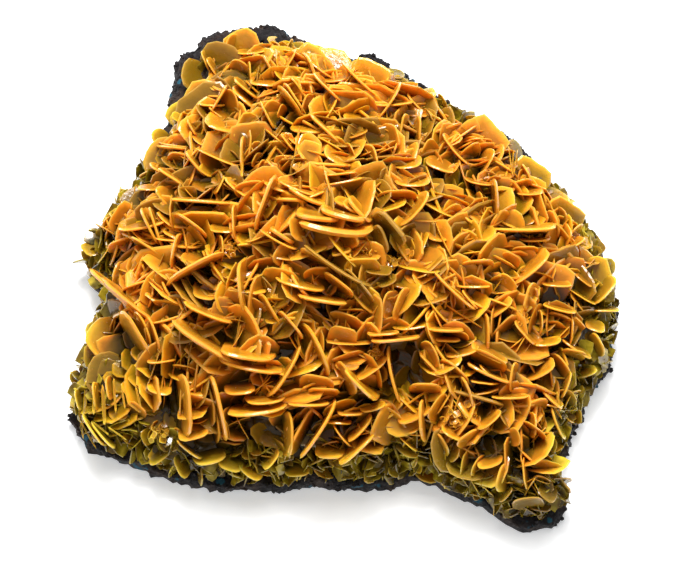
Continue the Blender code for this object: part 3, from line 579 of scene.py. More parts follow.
def wulfenite_material():
    """Wulfenite, lead molybdate grown as thin plates: an adamantine shine over a body that light
    soaks through. Painted light and shade lie in its colour: its keen edges are painted lighter
    with a yellow painted glow, the middles of its faces get painted shade, and painted shade deepens
    the plates to orange, brown and near black the deeper they lie between the others."""
    if "wulfenite_tabular" in bpy.data.materials:
        return bpy.data.materials["wulfenite_tabular"]
    colours = bpy.context.scene.specimen_colours
    material, tree, output = new_material("wulfenite_tabular")
    growth = add_node(tree, "ShaderNodeAttribute", {"attribute_name": "growth"})
    parts = add_node(tree, "ShaderNodeSeparateColor", None, {"Color": growth.outputs["Color"]})
    rim, tone, rise = (parts.outputs[name] for name in ("Red", "Green", "Blue"))
    ripe = growth.outputs["Alpha"]
    place = add_node(tree, "ShaderNodeTexCoord").outputs["Object"]
    zoning = add_node(tree, "ShaderNodeTexNoise", None, {
        "Vector": place, "Scale": scale_of(ZONE_WIDTH), "Detail": 3,
    })
    ripples = add_node(tree, "ShaderNodeTexNoise", None, {
        "Vector": place, "Scale": scale_of(RIPPLE_WIDTH), "Detail": 2,
    })
    # Painted shade: by how far a plate stands out of the dome, its colour runs from near black deep
    # between the plates through brown and orange to bright where it stands out.
    orange = add_node(tree, "ShaderNodeValToRGB", None, {"Fac": rise})
    set_ramp(orange, (
        (0.04, colours.deep), (0.25, colours.brown), (0.5, colours.orange), (0.95, colours.bright),
    ))
    # The same painted shade on the olive margin, from near black through dark olive and olive to
    # straw.
    olive = add_node(tree, "ShaderNodeValToRGB", None, {"Fac": rise})
    set_ramp(olive, (
        (0.0, colours.deep), (0.35, colours.olive_dark), (0.7, colours.olive), (1.0, colours.straw),
    ))
    body = add_node(tree, "ShaderNodeMix", {"data_type": "RGBA"}, {
        SHARE: ripe, FIRST: olive.outputs["Color"], SECOND: orange.outputs["Color"],
    })
    aged = add_node(tree, "ShaderNodeMapRange", {"interpolation_type": "SMOOTHSTEP"}, {
        "Value": tone, "From Min": 0.3, "From Max": 0.06, "To Min": 0, "To Max": 0.85,
    })
    dulled = add_node(tree, "ShaderNodeMix", {"data_type": "RGBA"}, {
        SHARE: aged.outputs["Result"], FIRST: body.outputs[MIXED], SECOND: colours.aged,
    })
    young = add_node(tree, "ShaderNodeMapRange", {"interpolation_type": "SMOOTHSTEP"}, {
        "Value": tone, "From Min": 0.6, "From Max": 1.0, "To Min": 0, "To Max": 0.5,
    })
    toned = add_node(tree, "ShaderNodeMix", {"data_type": "RGBA"}, {
        SHARE: young.outputs["Result"], FIRST: dulled.outputs[MIXED], SECOND: colours.yellow,
    })
    mottle = add_node(tree, "ShaderNodeMapRange", None, {
        "Value": zoning.outputs["Fac"], "To Min": 0.72, "To Max": 1.12,
    })
    mottled = add_node(tree, "ShaderNodeMix", {"data_type": "RGBA", "blend_type": "MULTIPLY"}, {
        SHARE: 1.0, FIRST: toned.outputs[MIXED], SECOND: mottle.outputs["Result"],
    })
    # Painted light: the plates' keen edges are painted lighter and their faces darker.
    painted_edge_light = add_node(tree, "ShaderNodeMapRange", {"interpolation_type": "SMOOTHSTEP"}, {
        "Value": rim, "From Min": 0, "From Max": 0.7, "To Min": 0.8, "To Max": 1.1,
    })
    edge_lit = add_node(tree, "ShaderNodeMix", {"data_type": "RGBA", "blend_type": "MULTIPLY"}, {
        SHARE: 1.0, FIRST: mottled.outputs[MIXED], SECOND: painted_edge_light.outputs["Result"],
    })
    # Painted shade: the middle of each face is mixed towards the aged olive-brown, the edges not.
    middle = add_node(tree, "ShaderNodeMapRange", {"interpolation_type": "SMOOTHSTEP"}, {
        "Value": rim, "From Min": 0, "From Max": 0.7, "To Min": 0.36, "To Max": 0,
    })
    face_middles_shaded = add_node(tree, "ShaderNodeMix", {"data_type": "RGBA"}, {
        SHARE: middle.outputs["Result"], FIRST: edge_lit.outputs[MIXED], SECOND: colours.aged,
    })
    # A painted glow along the keen edges, in the rim colour, stronger where the plate stands out of
    # the dome.
    edge = add_node(tree, "ShaderNodeMath", {"operation": "POWER"}, {0: rim, 1: 5})
    glow = add_node(tree, "ShaderNodeMath", {"operation": "MULTIPLY"}, {
        0: edge.outputs[0], 1: rise,
    })
    glowing = add_node(tree, "ShaderNodeMath", {"operation": "MULTIPLY"}, {
        0: glow.outputs[0], 1: 0.4,
    })
    rimmed = add_node(tree, "ShaderNodeMix", {"data_type": "RGBA"}, {
        SHARE: glowing.outputs[0], FIRST: face_middles_shaded.outputs[MIXED], SECOND: colours.rim,
    })
    rough = add_node(tree, "ShaderNodeMapRange", None, {
        "Value": zoning.outputs["Fac"], "To Min": 0.13, "To Max": 0.34,
    })
    bump = add_node(tree, "ShaderNodeBump", None, {
        "Height": ripples.outputs["Fac"], "Strength": 0.4, "Distance": 0.0002,
    })
    shader = add_node(tree, "ShaderNodeBsdfPrincipled", None, {
        "Base Color": rimmed.outputs[MIXED], "Roughness": rough.outputs["Result"],
        "Normal": bump.outputs["Normal"], "IOR": 1.6, "Subsurface Weight": 0.6,
        "Subsurface Radius": (1.0, 0.62, 0.1), "Subsurface Scale": 0.0009,
    })
    tree.links.new(shader.outputs[0], output.inputs["Surface"])
    return material


def clear_wulfenite_material():
    """Young wulfenite, still thin enough to see into: glassy olive-yellow plates on the margins,
    which drink a little of the light that goes through and flash where they reflect it."""
    if "wulfenite_clear" in bpy.data.materials:
        return bpy.data.materials["wulfenite_clear"]
    colours = bpy.context.scene.specimen_colours
    material, tree, output = new_material("wulfenite_clear")
    place = add_node(tree, "ShaderNodeTexCoord").outputs["Object"]
    clouds = add_node(tree, "ShaderNodeTexNoise", None, {
        "Vector": place, "Scale": scale_of(CLOUD_WIDTH), "Detail": 3,
    })
    tint = add_node(tree, "ShaderNodeValToRGB", None, {"Fac": clouds.outputs["Fac"]})
    set_ramp(tint, (
        (0.32, colours.olive_dark), (0.42, colours.aged), (0.52, colours.olive),
        (0.66, colours.straw),
    ))
    rough = add_node(tree, "ShaderNodeMapRange", None, {
        "Value": clouds.outputs["Fac"], "To Min": 0.05, "To Max": 0.3,
    })
    shader = add_node(tree, "ShaderNodeBsdfPrincipled", None, {
        "Base Color": tint.outputs["Color"], "Roughness": rough.outputs["Result"],
        "IOR": 1.6, "Transmission Weight": 0.25,
    })
    tree.links.new(shader.outputs[0], output.inputs["Surface"])
    return material


def limonite_material():
    """Limonite, earthy iron ore weathered black-brown: dull, pitted, with rusty hollows and a
    faint peacock tarnish."""
    if "limonite_weathered" in bpy.data.materials:
        return bpy.data.materials["limonite_weathered"]
    colours = bpy.context.scene.specimen_colours
    material, tree, output = new_material("limonite_weathered")
    place = add_node(tree, "ShaderNodeTexCoord").outputs["Object"]
    patches = add_node(tree, "ShaderNodeTexNoise", None, {
        "Vector": place, "Scale": scale_of(PATCH_WIDTH), "Detail": 5,
    })
    grain = add_node(tree, "ShaderNodeTexNoise", None, {
        "Vector": place, "Scale": scale_of(ROCK_GRAIN_WIDTH), "Detail": 4,
    })
    earth = add_node(tree, "ShaderNodeValToRGB", None, {"Fac": patches.outputs["Fac"]})
    set_ramp(earth, (
        (0.32, colours.rock_black), (0.5, colours.rock_purple), (0.62, colours.rock_rust),
        (0.74, colours.rock_dust),
    ))
    rough = add_node(tree, "ShaderNodeMapRange", None, {
        "Value": grain.outputs["Fac"], "To Min": 0.4, "To Max": 0.95,
    })
    bump = add_node(tree, "ShaderNodeBump", None, {
        "Height": grain.outputs["Fac"], "Strength": 1.0, "Distance": 0.0009,
    })
    specks = add_node(tree, "ShaderNodeTexNoise", None, {
        "Vector": place, "Scale": scale_of(TARNISH_WIDTH), "Detail": 1,
    })
    tarnish = add_node(tree, "ShaderNodeMapRange", {"interpolation_type": "SMOOTHSTEP"}, {
        "Value": specks.outputs["Fac"], "From Min": 0.65, "From Max": 0.72,
    })
    tarnished = add_node(tree, "ShaderNodeMix", {"data_type": "RGBA"}, {
        SHARE: tarnish.outputs["Result"], FIRST: earth.outputs["Color"], SECOND: colours.tarnish,
    })
    shader = add_node(tree, "ShaderNodeBsdfPrincipled", None, {
        "Base Color": tarnished.outputs[MIXED], "Roughness": rough.outputs["Result"],
        "Normal": bump.outputs["Normal"],
    })
    tree.links.new(shader.outputs[0], output.inputs["Surface"])
    return material


def paper_material():
    """Matt white paper over a light table, so the specimen's shadow on it stays pale."""
    material, tree, output = new_material("white_paper")
    place = add_node(tree, "ShaderNodeTexCoord").outputs["Object"]
    fibre = add_node(tree, "ShaderNodeTexNoise", None, {
        "Vector": place, "Scale": scale_of(FIBRE_WIDTH), "Detail": 2,
    })
    bump = add_node(tree, "ShaderNodeBump", None, {
        "Height": fibre.outputs["Fac"], "Strength": 0.05, "Distance": 0.0001,
    })
    shader = add_node(tree, "ShaderNodeBsdfPrincipled", None, {
        "Base Color": linear("#F6F7F8"), "Roughness": 0.9, "Normal": bump.outputs["Normal"],
        "Emission Color": linear("#F6F7F8"), "Emission Strength": 0.42,
    })
    tree.links.new(shader.outputs[0], output.inputs["Surface"])
    return material


def piece_from(made, name, material, slot, *nodes):
    """Turns a bmesh in millimetres into a finished piece that rides on the specimen."""
    bmesh.ops.scale(made, vec=(MM, MM, MM), verts=made.verts)
    mesh = bpy.data.meshes.new(name)
    made.to_mesh(mesh)
    made.free()
    mesh.materials.append(material)
    mesh.shade_smooth()
    piece = bpy.data.objects.new(name, mesh)
    bpy.context.scene.collection.objects.link(piece)
    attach(piece, "root")
    if nodes:
        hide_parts(*nodes)
    return piece


def plate_template(number, sides, chance, squareness):
    """One plate of radius 1 as a mesh: a rounded square whose faces are bevelled to a keen edge,
    stepped in a little and cupped. Its attribute is red at the edge, where the material paints light
    and a glow, and black on the faces."""
    made = bmesh.new()
    thickness = chance.uniform(0.1, 0.14)
    bmesh.ops.create_cone(
        made, cap_ends=True, segments=sides, radius1=1, radius2=1, depth=thickness,
    )
    upright = [edge for edge in made.edges if abs(edge.verts[0].co.z - edge.verts[1].co.z) > 0.01]
    bmesh.ops.subdivide_edges(made, edges=upright, cuts=1)
    power = chance.uniform(*squareness)
    width = chance.uniform(0.72, 1.0)
    skew, lobe = chance.uniform(0, math.tau), chance.uniform(0, math.tau)
    bevel = chance.uniform(0.045, 0.08)
    layer = made.verts.layers.float_color.new("growth")
    for vert in made.verts:
        on_edge = abs(vert.co.z) < thickness * 0.25
        turn = math.atan2(vert.co.y, vert.co.x)
        square = (abs(math.cos(turn)) ** power + abs(math.sin(turn)) ** power) ** (-1 / power)
        uneven = 0.92 + 0.05 * math.sin(2 * turn + skew) + 0.035 * math.sin(3 * turn + lobe)
        reach = square * uneven * (1 if on_edge else 1 - bevel)
        vert.co.x = math.cos(turn) * reach
        vert.co.y = math.sin(turn) * reach * width
        vert[layer] = (1.0 if on_edge else 0.7, 0, 0, 1)
    caps = [face for face in made.faces if len(face.verts) > 4]
    bmesh.ops.inset_individual(
        made, faces=caps, thickness=chance.uniform(0.28, 0.46),
        depth=-thickness * chance.uniform(0.05, 0.25),
    )
    for face in caps:
        for vert in face.verts:
            vert[layer] = (0, 0, 0, 1)
    cup = chance.choice((-1, 1)) * chance.uniform(0, 0.13)
    twist = chance.uniform(-0.07, 0.07)
    for vert in made.verts:
        vert.co.z += cup * (vert.co.x ** 2 + 0.5 * vert.co.y ** 2) + twist * vert.co.x * vert.co.y
    bmesh.ops.recalc_face_normals(made, faces=made.faces)
    mesh = bpy.data.meshes.new(f"plate_template_{number}")
    made.to_mesh(mesh)
    made.free()
    return mesh


class Crust:
    """Gathers plates made from a few templates into one bmesh, each with its own tone."""

    def __init__(self, seed, sides, squareness=(2.6, 5.2), material=wulfenite_material):
        self.chance = random.Random(seed)
        self.material = material
        self.templates = [
            plate_template(number, sides, self.chance, squareness) for number in range(TEMPLATES)
        ]
        self.made = bmesh.new()
        self.tones = []

    def add(self, placement, radius, tone=None, thick=1.0, narrow=1.0):
        """Adds a plate of this radius, its face's normal along the placement's Z."""
        template = self.chance.choice(self.templates)
        mesh = template.copy()
        quarter = Matrix.Rotation(self.chance.choice((0, 1, 2, 3)) * math.pi / 2, 4, "Z")
        depth = thick * (0.62 + 1.9 / (radius + 1.2))
        sizing = Matrix.Diagonal((radius, radius * narrow, radius * depth, 1))
        mesh.transform(placement @ sizing @ quarter)
        self.made.from_mesh(mesh)
        tone = self.chance.uniform(0.2, 0.9) if tone is None else tone
        self.tones.extend([tone] * len(mesh.vertices))
        bpy.data.meshes.remove(mesh)

    def finish(self, name, *nodes):
        """The crust as a finished piece, with every vertex's tone, painted shade and olive margin
        worked out; the painted shade follows how far the vertex stands out of the dome.
        """
        points = np.array([vert.co for vert in self.made.verts])
        shade = bpy.context.scene.specimen_sizes.mm("shade_depth")
        rise = np.clip((rises(points) + shade) / (2 * shade), 0, 1)
        ripe = ripeness(points)
        layer = self.made.verts.layers.float_color["growth"]
        for index, vert in enumerate(self.made.verts):
            vert[layer] = (vert[layer][0], self.tones[index], rise[index], ripe[index])
        bmesh.ops.recalc_face_normals(self.made, faces=self.made.faces)
        for template in self.templates:
            bpy.data.meshes.remove(template)
        piece = piece_from(self.made, name, self.material(), "wulfenite", *nodes)
        piece.data.set_sharp_from_angle(angle=KEEN_ANGLE)


def in_picture(u, v):
    """A pixel's place in the picture, across and up in mm from its middle."""
    return (u - PICTURE_MIDDLE[0]) * MM_PER_PIXEL, (PICTURE_MIDDLE[1] - v) * MM_PER_PIXEL


def as_seen(point):
    """A point's place in the picture, across and up in mm, and how near the eye it is."""
    away = point - TARGET
    return away.dot(ACROSS), away.dot(UP_VIEW), away.dot(TO_EYE)


def placed(middle, along, over, normal):
    """The matrix that puts a plate's middle and its three axes there."""
    return Matrix.Translation(middle) @ Matrix((along, over, normal)).transposed().to_4x4()


def seen_placement(u, v, openness, slant, lift):
    """The matrix that puts a flat plate where the picture shows it, its normal along Z."""
    turn = math.radians(slant)
    long_axis = ACROSS * math.cos(turn) + UP_VIEW * math.sin(turn)
    side = UP_VIEW * math.cos(turn) - ACROSS * math.sin(turn)
    face = abs(openness)
    normal = TO_EYE * face + side * math.copysign(math.sqrt(1 - face * face), openness)
    middle = on_dome(*in_picture(u, v)) + TO_EYE * lift
    return placed(middle, long_axis, normal.cross(long_axis), normal)


def any_turn(chance):
    """Any rotation, as a matrix."""
    axis = Vector((chance.gauss(0, 1), chance.gauss(0, 1), chance.gauss(0, 1))).normalized()
    return Matrix.Rotation(chance.uniform(0, math.tau), 4, axis)


def scattered(spacing, depth, tries, chance):
    """Places over the dome, this deep under it and at least this far apart, in mm."""
    cells = {}
    for _ in range(tries):
        turn = chance.uniform(-math.pi, math.pi)
        if chance.random() < 0.55:
            flat = chance.random() ** (DOME_POWER / 4)
            high = math.sqrt(1 - flat * flat)
        else:
            high = chance.uniform(0.1, 1) ** (DOME_POWER / 2)
            flat = math.sqrt(1 - high * high)
        way = Vector((math.cos(turn) * flat, math.sin(turn) * flat, high))
        place = under_dome(way, lambda turn, height: depth)
        here = [math.floor(c / spacing) for c in place]
        steps = (-1, 0, 1)
        around = (
            other for i in steps for j in steps for k in steps
            for other in cells.get((here[0] + i, here[1] + j, here[2] + k), ())
        )
        if all((place - other).length >= spacing for other in around):
            cells.setdefault(tuple(here), []).append(place)
    return [place for group in cells.values() for place in group]


def kept_inside(place, normal, radius):
    """This place, moved so that a plate of this radius there stays in the solids' box, in mm."""
    low, high = (Vector(corner) / MM for corner in CAD_BOX)
    kept = place.copy()
    for axis in range(3):
        reach = radius * math.sqrt(max(1 - normal[axis] ** 2, 0)) + PLATE_MARGIN
        slack = -PLATE_MARGIN if axis == 2 else SIDE_SLACK
        kept[axis] = min(max(place[axis], low[axis] - slack + reach), high[axis] + slack - reach)
    return kept


def length_property(name, description, millimetres):
    return bpy.props.FloatProperty(
        name=name, description=description, unit="LENGTH", min=0, precision=4,
        default=millimetres * MM,
    )


class SpecimenSizes(bpy.types.PropertyGroup):
    """Sizes of what grows on the specimen."""

    druse_depth: length_property("Druse depth", "How deep the druse lies under the dome", 3.9)
    rose_spacing: length_property("Rose spacing", "Distance between open roses", 8.5)
    margin_width: length_property("Margin width", "How wide the olive margin is", 9.0)
    shade_depth: length_property("Shade depth", "How deep between plates the brown shade lies", 2.6)
    cluster_spacing: length_property("Cluster spacing", "Distance between clusters of plates", 9.0)
    plate_spacing: length_property("Plate spacing", "Distance between neighbouring plates", 2.35)
    least_radius: length_property("Least radius", "Radius of the smallest rosette plate", 2.6)
    most_radius: length_property("Most radius", "Radius of the largest rosette plate", 5.2)
    grains: bpy.props.IntProperty(
        name="Grains", description="How many limonite grains stand on the bare rock",
        default=3200, min=0, subtype="UNSIGNED",
    )

    def mm(self, name):
        """The size of this name in millimetres."""
        return getattr(self, name) / MM


def colour_property(name, description, hex_colour):
    return bpy.props.FloatVectorProperty(
        name=name, description=description, subtype="COLOR", size=4, min=0, max=1,
        default=linear(hex_colour),
    )


class SpecimenColours(bpy.types.PropertyGroup):
    """Colours of the crystals and the rock."""

    # Painted shade: the crystal's colour deep down in the gaps between the plates.
    deep: colour_property("Deep", "Crystal down in the gaps", "#1E1504")
    brown: colour_property("Brown", "Crystal in half shade", "#80540A")
    orange: colour_property("Orange", "Crystal faces", "#E28920")
    # The light end of the painted shade: crystal that stands furthest out of the dome.
    bright: colour_property("Bright", "Crystal tips", "#F7A528")
    yellow: colour_property("Yellow", "Thin yellow plates", "#F2B81A")
    # The colour of the painted glow along the plates' keen edges.
    rim: colour_property("Rim", "Glowing edges", "#FFCC6A")
    olive_dark: colour_property("Dark olive", "Margin crystals in shade", "#4E4410")
    olive: colour_property("Olive", "Margin crystals", "#A08A1C")
    # Margin crystal tips, and the light end of the margin's painted shade.
    straw: colour_property("Straw", "Margin crystal tips", "#E0C43C")
    # Also mixed into the middle of every plate's face as painted shade.
    aged: colour_property("Aged", "Olive-brown plates", "#7E6012")
    rock_black: colour_property("Rock black", "Limonite in its hollows", "#0B090A")
    rock_purple: colour_property("Rock purple", "Limonite faces", "#1D1719")
    rock_rust: colour_property("Rock rust", "Rusty limonite", "#33231A")
    tarnish: colour_property("Tarnish", "Peacock specks on the limonite", "#1C5B70")
    rock_dust: colour_property("Rock dust", "Dusty limonite", "#54463A")


class SPECIMEN_OT_matrix(bpy.types.Operator):
    """Makes the limonite that the crystals grew on, with its bosses, pits and cut foot"""

    bl_idname = "specimen.matrix"
    bl_label = "Limonite matrix"

    def execute(self, context):
        noise.seed_set(ROUGH_SEED)
        made = bmesh.new()
        bmesh.ops.create_icosphere(made, subdivisions=8, radius=1)
        everything = made.verts[:] + made.edges[:] + made.faces[:]
        cut = bmesh.ops.bisect_plane(
            made, geom=everything, plane_co=(0, 0, 0), plane_no=(0, 0, 1), clear_inner=True,
        )["geom_cut"]
        rim = [part for part in cut if isinstance(part, bmesh.types.BMEdge)]
        bmesh.ops.holes_fill(made, edges=rim)
        bosses = [(foot_of(*seen[:3]), seen[3]) for seen in BOSSES]
        for vert in made.verts:
            way = vert.co.copy()
            place = under_dome(way, rock_depth)
            rough = noise.noise_vector(place * ROUGHNESS_PER_MM) * ROUGHNESS
            outward = Vector((way.x, way.y, max(way.z, 0.1))).normalized()
            swell = 0
            for middle, radius in bosses:
                away = (place - middle).length
                if away < radius:
                    swell = max(swell, math.sqrt(radius * radius - away * away) * BOSS_SWELL)
            knobbly = 1 - abs(noise.noise(place * KNOBS_PER_MM)) * 2
            pitted = noise.noise(place * PITS_PER_MM) * 0.6
            pitted += noise.noise(place * FINE_PITS_PER_MM) * 0.45
            grains = 0.45 - noise.voronoi(place * GRAINS_PER_MM)[0][0] + 0.2
            grains -= noise.voronoi(place * FINE_GRAINS_PER_MM)[0][0] * 0.5
            footed = FOOT_SWELL * eased((FOOT_SWELL_TOP - place.z) / FOOT_SWELL_EASE)
            relief = swell + footed + knobbly * KNOB_HEIGHT + pitted * PIT_DEPTH + grains
            rough += outward * relief
            if way.z <= 0.001:
                rough.z = 0
                place.z = 0
            vert.co = place + rough
            vert.co.z = max(vert.co.z, 0)
        bmesh.ops.recalc_face_normals(made, faces=made.faces)
        piece_from(made, "limonite_matrix", limonite_material(), "limonite", "matrix")
        return {"FINISHED"}


class SPECIMEN_OT_grains(bpy.types.Operator):
    """Makes the grains and botryoidal knobs that stand on the bare limonite"""

    bl_idname = "specimen.grains"
    bl_label = "Limonite grains"

    def execute(self, context):
        chance = random.Random(91)
        count = context.scene.specimen_sizes.grains
        surface = bpy.data.objects["limonite_matrix"].data.vertices
        knobs = []
        for number in range(KNOB_SHAPES):
            knob = bmesh.new()
            bmesh.ops.create_icosphere(knob, subdivisions=1, radius=1)
            for vert in knob.verts:
                vert.co *= chance.uniform(0.7, 1.15)
            mesh = bpy.data.meshes.new(f"limonite_knob_{number}")
            knob.to_mesh(mesh)
            knob.free()
            knobs.append(mesh)
        made = bmesh.new()
        for _ in range(count * TRIES_PER_KNOB):
            if len(made.faces) >= count * KNOB_FACES:
                break
            place = chance.choice(surface).co / MM
            bare = bare_at(place)
            if place.z < 0.6 or (bare < chance.uniform(0.05, 0.6) and place.z > FOOT_HEIGHT + 2.5):
                continue
            radius = min(chance.uniform(*KNOB_RADII), place.z * 0.7)
            mesh = chance.choice(knobs).copy()
            middle = place - outward_at(place) * radius * 0.25
            mesh.transform(
                Matrix.Translation(middle) @ any_turn(chance)
                @ Matrix.Diagonal((radius, radius * chance.uniform(0.7, 1), radius, 1))
            )
            made.from_mesh(mesh)
            bpy.data.meshes.remove(mesh)
        for mesh in knobs:
            bpy.data.meshes.remove(mesh)
        piece = piece_from(made, "limonite_grains", limonite_material(), "limonite")
        piece.data.set_sharp_from_angle(angle=math.radians(50))
        return {"FINISHED"}


class SPECIMEN_OT_druse(bpy.types.Operator):
    """Makes the granular druse that lies between the roots of the plates"""

    bl_idname = "specimen.druse"
    bl_label = "Druse"

    def execute(self, context):
        made = bmesh.new()
        bmesh.ops.create_icosphere(made, subdivisions=7, radius=1)
        for vert in made.verts:
            way = vert.co.copy()
            place = under_dome(way, druse_depth)
            grains = abs(noise.noise(place * 0.8)) * 0.9 + abs(noise.noise(place * 0.25)) * 1.6
            grains += 0.7 - 1.1 * noise.voronoi(place * 0.9)[0][0]
            place += Vector((way.x, way.y, max(way.z, 0))) * grains
            place.z = max(place.z, FOOT_HEIGHT + 0.4)
            vert.co = place
        # The druse gets the near-black colour of the deepest gaps: painted shade.
        layer = made.verts.layers.float_color.new("growth")
        points = np.array([vert.co for vert in made.verts])
        ripe = ripeness(points)
        for index, vert in enumerate(made.verts):
            vert[layer] = (0, 0.4, 0.02, ripe[index])
        bmesh.ops.recalc_face_normals(made, faces=made.faces)
        piece_from(made, "wulfenite_druse", wulfenite_material(), "wulfenite", "wulfenite_plates")
        return {"FINISHED"}


class SPECIMEN_OT_listed_plates(bpy.types.Operator):
    """Makes the large plates that can be told apart in the picture"""

    bl_idname = "specimen.listed_plates"
    bl_label = "Leading plates"

    def execute(self, context):
        crust = Crust(seed=5, sides=20, squareness=(2.3, 3.8))
        for placement, radius, aged in leading_plates().plates:
            across, up, _ = as_seen(placement.translation)
            on_tail = across > TAIL_ACROSS and up < TAIL_UP
            off_book = math.hypot((across - BOOK_ACROSS) / BOOK_STRETCH, up - BOOK_UP)
            thickness = BOOK_THICKNESS if off_book < BOOK_REACH else 1.0
            crust.add(placement, radius, AGED_TONE if aged or on_tail else None, thickness)
        crust.finish("wulfenite_leading_plates")
        return {"FINISHED"}


class Cluster:
    """A neighbourhood of plates that grew together: a rose, a book or a box."""

    def __init__(self, middle, chance):
        self.middle = middle
        self.outward = outward_at(middle)
        self.kind = chance.choices(list(CLUSTER_KINDS), list(CLUSTER_KINDS.values()))[0]
        self.start = self.outward.orthogonal().normalized()
        self.start.rotate(Matrix.Rotation(chance.uniform(0, math.tau), 3, self.outward))
        self.lean = chance.choice((-1, 1)) * chance.uniform(0.2, 1.1)
        self.tone = chance.random()
        self.size = chance.uniform(0.78, 1.15)

    def normal_at(self, place, outward, chance):
        """Which way the face of a plate that grows here looks."""
        if self.kind == "rose":
            away = place - self.middle
            away -= outward * away.dot(outward)
            lean = 0.35 + 0.09 * away.length + chance.gauss(0, 0.2)
            normal = outward * math.sin(lean) - away.normalized() * math.cos(lean)
            normal.rotate(Matrix.Rotation(chance.gauss(0, 0.45), 3, outward))
            return normal.normalized()
        normal = self.start + outward * (self.lean + chance.gauss(0, 0.22))
        turn = chance.gauss(0, 0.14)
        if self.kind == "box":
            turn = chance.choice((0, 1, 2)) * math.pi / 3 + chance.gauss(0, 0.22)
            normal = self.start + outward * chance.choice((-1, 1)) * chance.uniform(0.15, 1.5)
        normal.rotate(Matrix.Rotation(turn, 3, outward))
        return normal.normalized()


class LeadingPlates:
    """The listed plates' places and faces, so that no smaller plate hides one of them."""

    def __init__(self):
        self.plates = []
        samples = []
        for u, v, radius, openness, slant, lift in LISTED_PLATES:
            placement = seen_placement(u, v, openness, slant, lift)
            turned = placement.to_3x3()
            lifted = placement.translation + TO_EYE * crown_lift(placement.translation)
            middle = kept_inside(lifted, turned.col[2], radius)
            placement.translation = middle
            self.plates.append((placement, radius, (u, v) in AGED_PLATES))
            for ring, points in LEADING_RINGS:
                for number in range(points):
                    turn = number * math.tau / points
                    samples.append(middle + radius * ring * (
                        turned.col[0] * math.cos(turn) + turned.col[1] * math.sin(turn)
                    ))
        self.nearness = []
        self.finder = kdtree.KDTree(len(samples))
        for number, sample in enumerate(samples):
            across, up, near = as_seen(sample)
            self.finder.insert((across, up, 0), number)
            self.nearness.append(near)
        self.finder.balance()

    def hidden_by(self, middle, along, over, radius):
        """How many places on leading plates a plate here would hide."""
        hidden = set()
        for ring, points in SMALLER_RINGS:
            for number in range(points):
                turn = number * math.tau / points
                point = middle + radius * ring * (along * math.cos(turn) + over * math.sin(turn))
                across, up, near = as_seen(point)
                for _, sample, _ in self.finder.find_range((across, up, 0), HIDING_REACH):
                    if near > self.nearness[sample] + HIDING_LEAD:
                        hidden.add(sample)
        return len(hidden)


@functools.cache
def leading_plates():
    return LeadingPlates()


def hollow_at(place, radius):
    """The reach of the hollow that a plate of this radius here would cross, or 0."""
    across, up, near = as_seen(place)
    for u, v, reach in HOLLOWS:
        middle = in_picture(u, v)
        off = math.hypot(across - middle[0], up - middle[1])
        if near > 0 and off < reach + 0.3 * radius:
            return reach
    return 0


def grow_plate(crust, place, normal, radius, tone, chance, thick=1.0, deep=False):
    """Adds a plate here whose face looks along this normal, sunk till it hides no leading plate.
    Only small ones of the deep layer grow in a hollow."""
    normal = normal.normalized()
    hollow = hollow_at(place, radius)
    if hollow and not deep:
        return
    if hollow:
        radius = min(radius, 0.4 * radius + 0.3 * hollow)
    outward = outward_at(place)
    along = outward.cross(normal).normalized()
    along.rotate(Matrix.Rotation(chance.uniform(-0.5, 0.5), 3, normal))
    over = normal.cross(along)
    for sunk in SINKINGS:
        middle = kept_inside(place - outward * sunk, normal, radius)
        if leading_plates().hidden_by(middle, along, over, radius) <= ALLOWED_HIDDEN:
            tone = min(max(tone + chance.gauss(0, 0.2), 0), 1)
            thick *= chance.uniform(0.5, 1.1)
            crust.add(placed(middle, along, over, normal), radius, tone, thick)
            return


class SPECIMEN_OT_rosettes(bpy.types.Operator):
    """Makes the roses, books and boxes of plates that cover the whole dome"""

    bl_idname = "specimen.rosettes"
    bl_label = "Rosettes and books"

    def execute(self, context):
        sizes = context.scene.specimen_sizes
        chance = random.Random(21)
        middles = scattered(sizes.mm("cluster_spacing"), 1.5, 4000, chance)
        clusters = [Cluster(middle, chance) for middle in middles]
        finder = kdtree.KDTree(len(clusters))
        for number, cluster in enumerate(clusters):
            finder.insert(cluster.middle, number)
        finder.balance()
        for layer in LAYERS:
            halves = {half: Crust(layer.seed, layer.sides) for half in ("left", "right")}
            spacing = sizes.mm("plate_spacing") * layer.apart
            for place in scattered(spacing, layer.depth, 26000, chance):
                if place.z < FOOT_HEIGHT + 1.6:
                    continue
                if bare_at(place) > chance.uniform(0.3, 0.9):
                    continue
                cluster = clusters[finder.find(place)[1]]
                crust = halves["left" if place.x < 0 else "right"]
                self.grow(crust, cluster, place, layer, chance)
            for half, crust in halves.items():
                crust.finish(f"wulfenite_{layer.name}_plates_{half}")
        return {"FINISHED"}

    def grow(self, crust, cluster, place, layer, chance):
        """Grows one plate of a cluster at this place in a layer."""
        sizes = bpy.context.scene.specimen_sizes
        deep = layer.name == "deep"
        outward = outward_at(place)
        normal = cluster.normal_at(place, outward, chance)
        ripe = ripe_at(place)
        spread = chance.uniform(sizes.mm("least_radius"), sizes.mm("most_radius"))
        radius = spread * layer.size * cluster.size * (0.5 + 0.5 * ripe)
        lift = 0 if deep else crown_lift(place)
        place = place + outward * (chance.gauss(0, layer.deviation) + lift)
        grow_plate(crust, place, normal, radius, cluster.tone, chance, deep=deep)


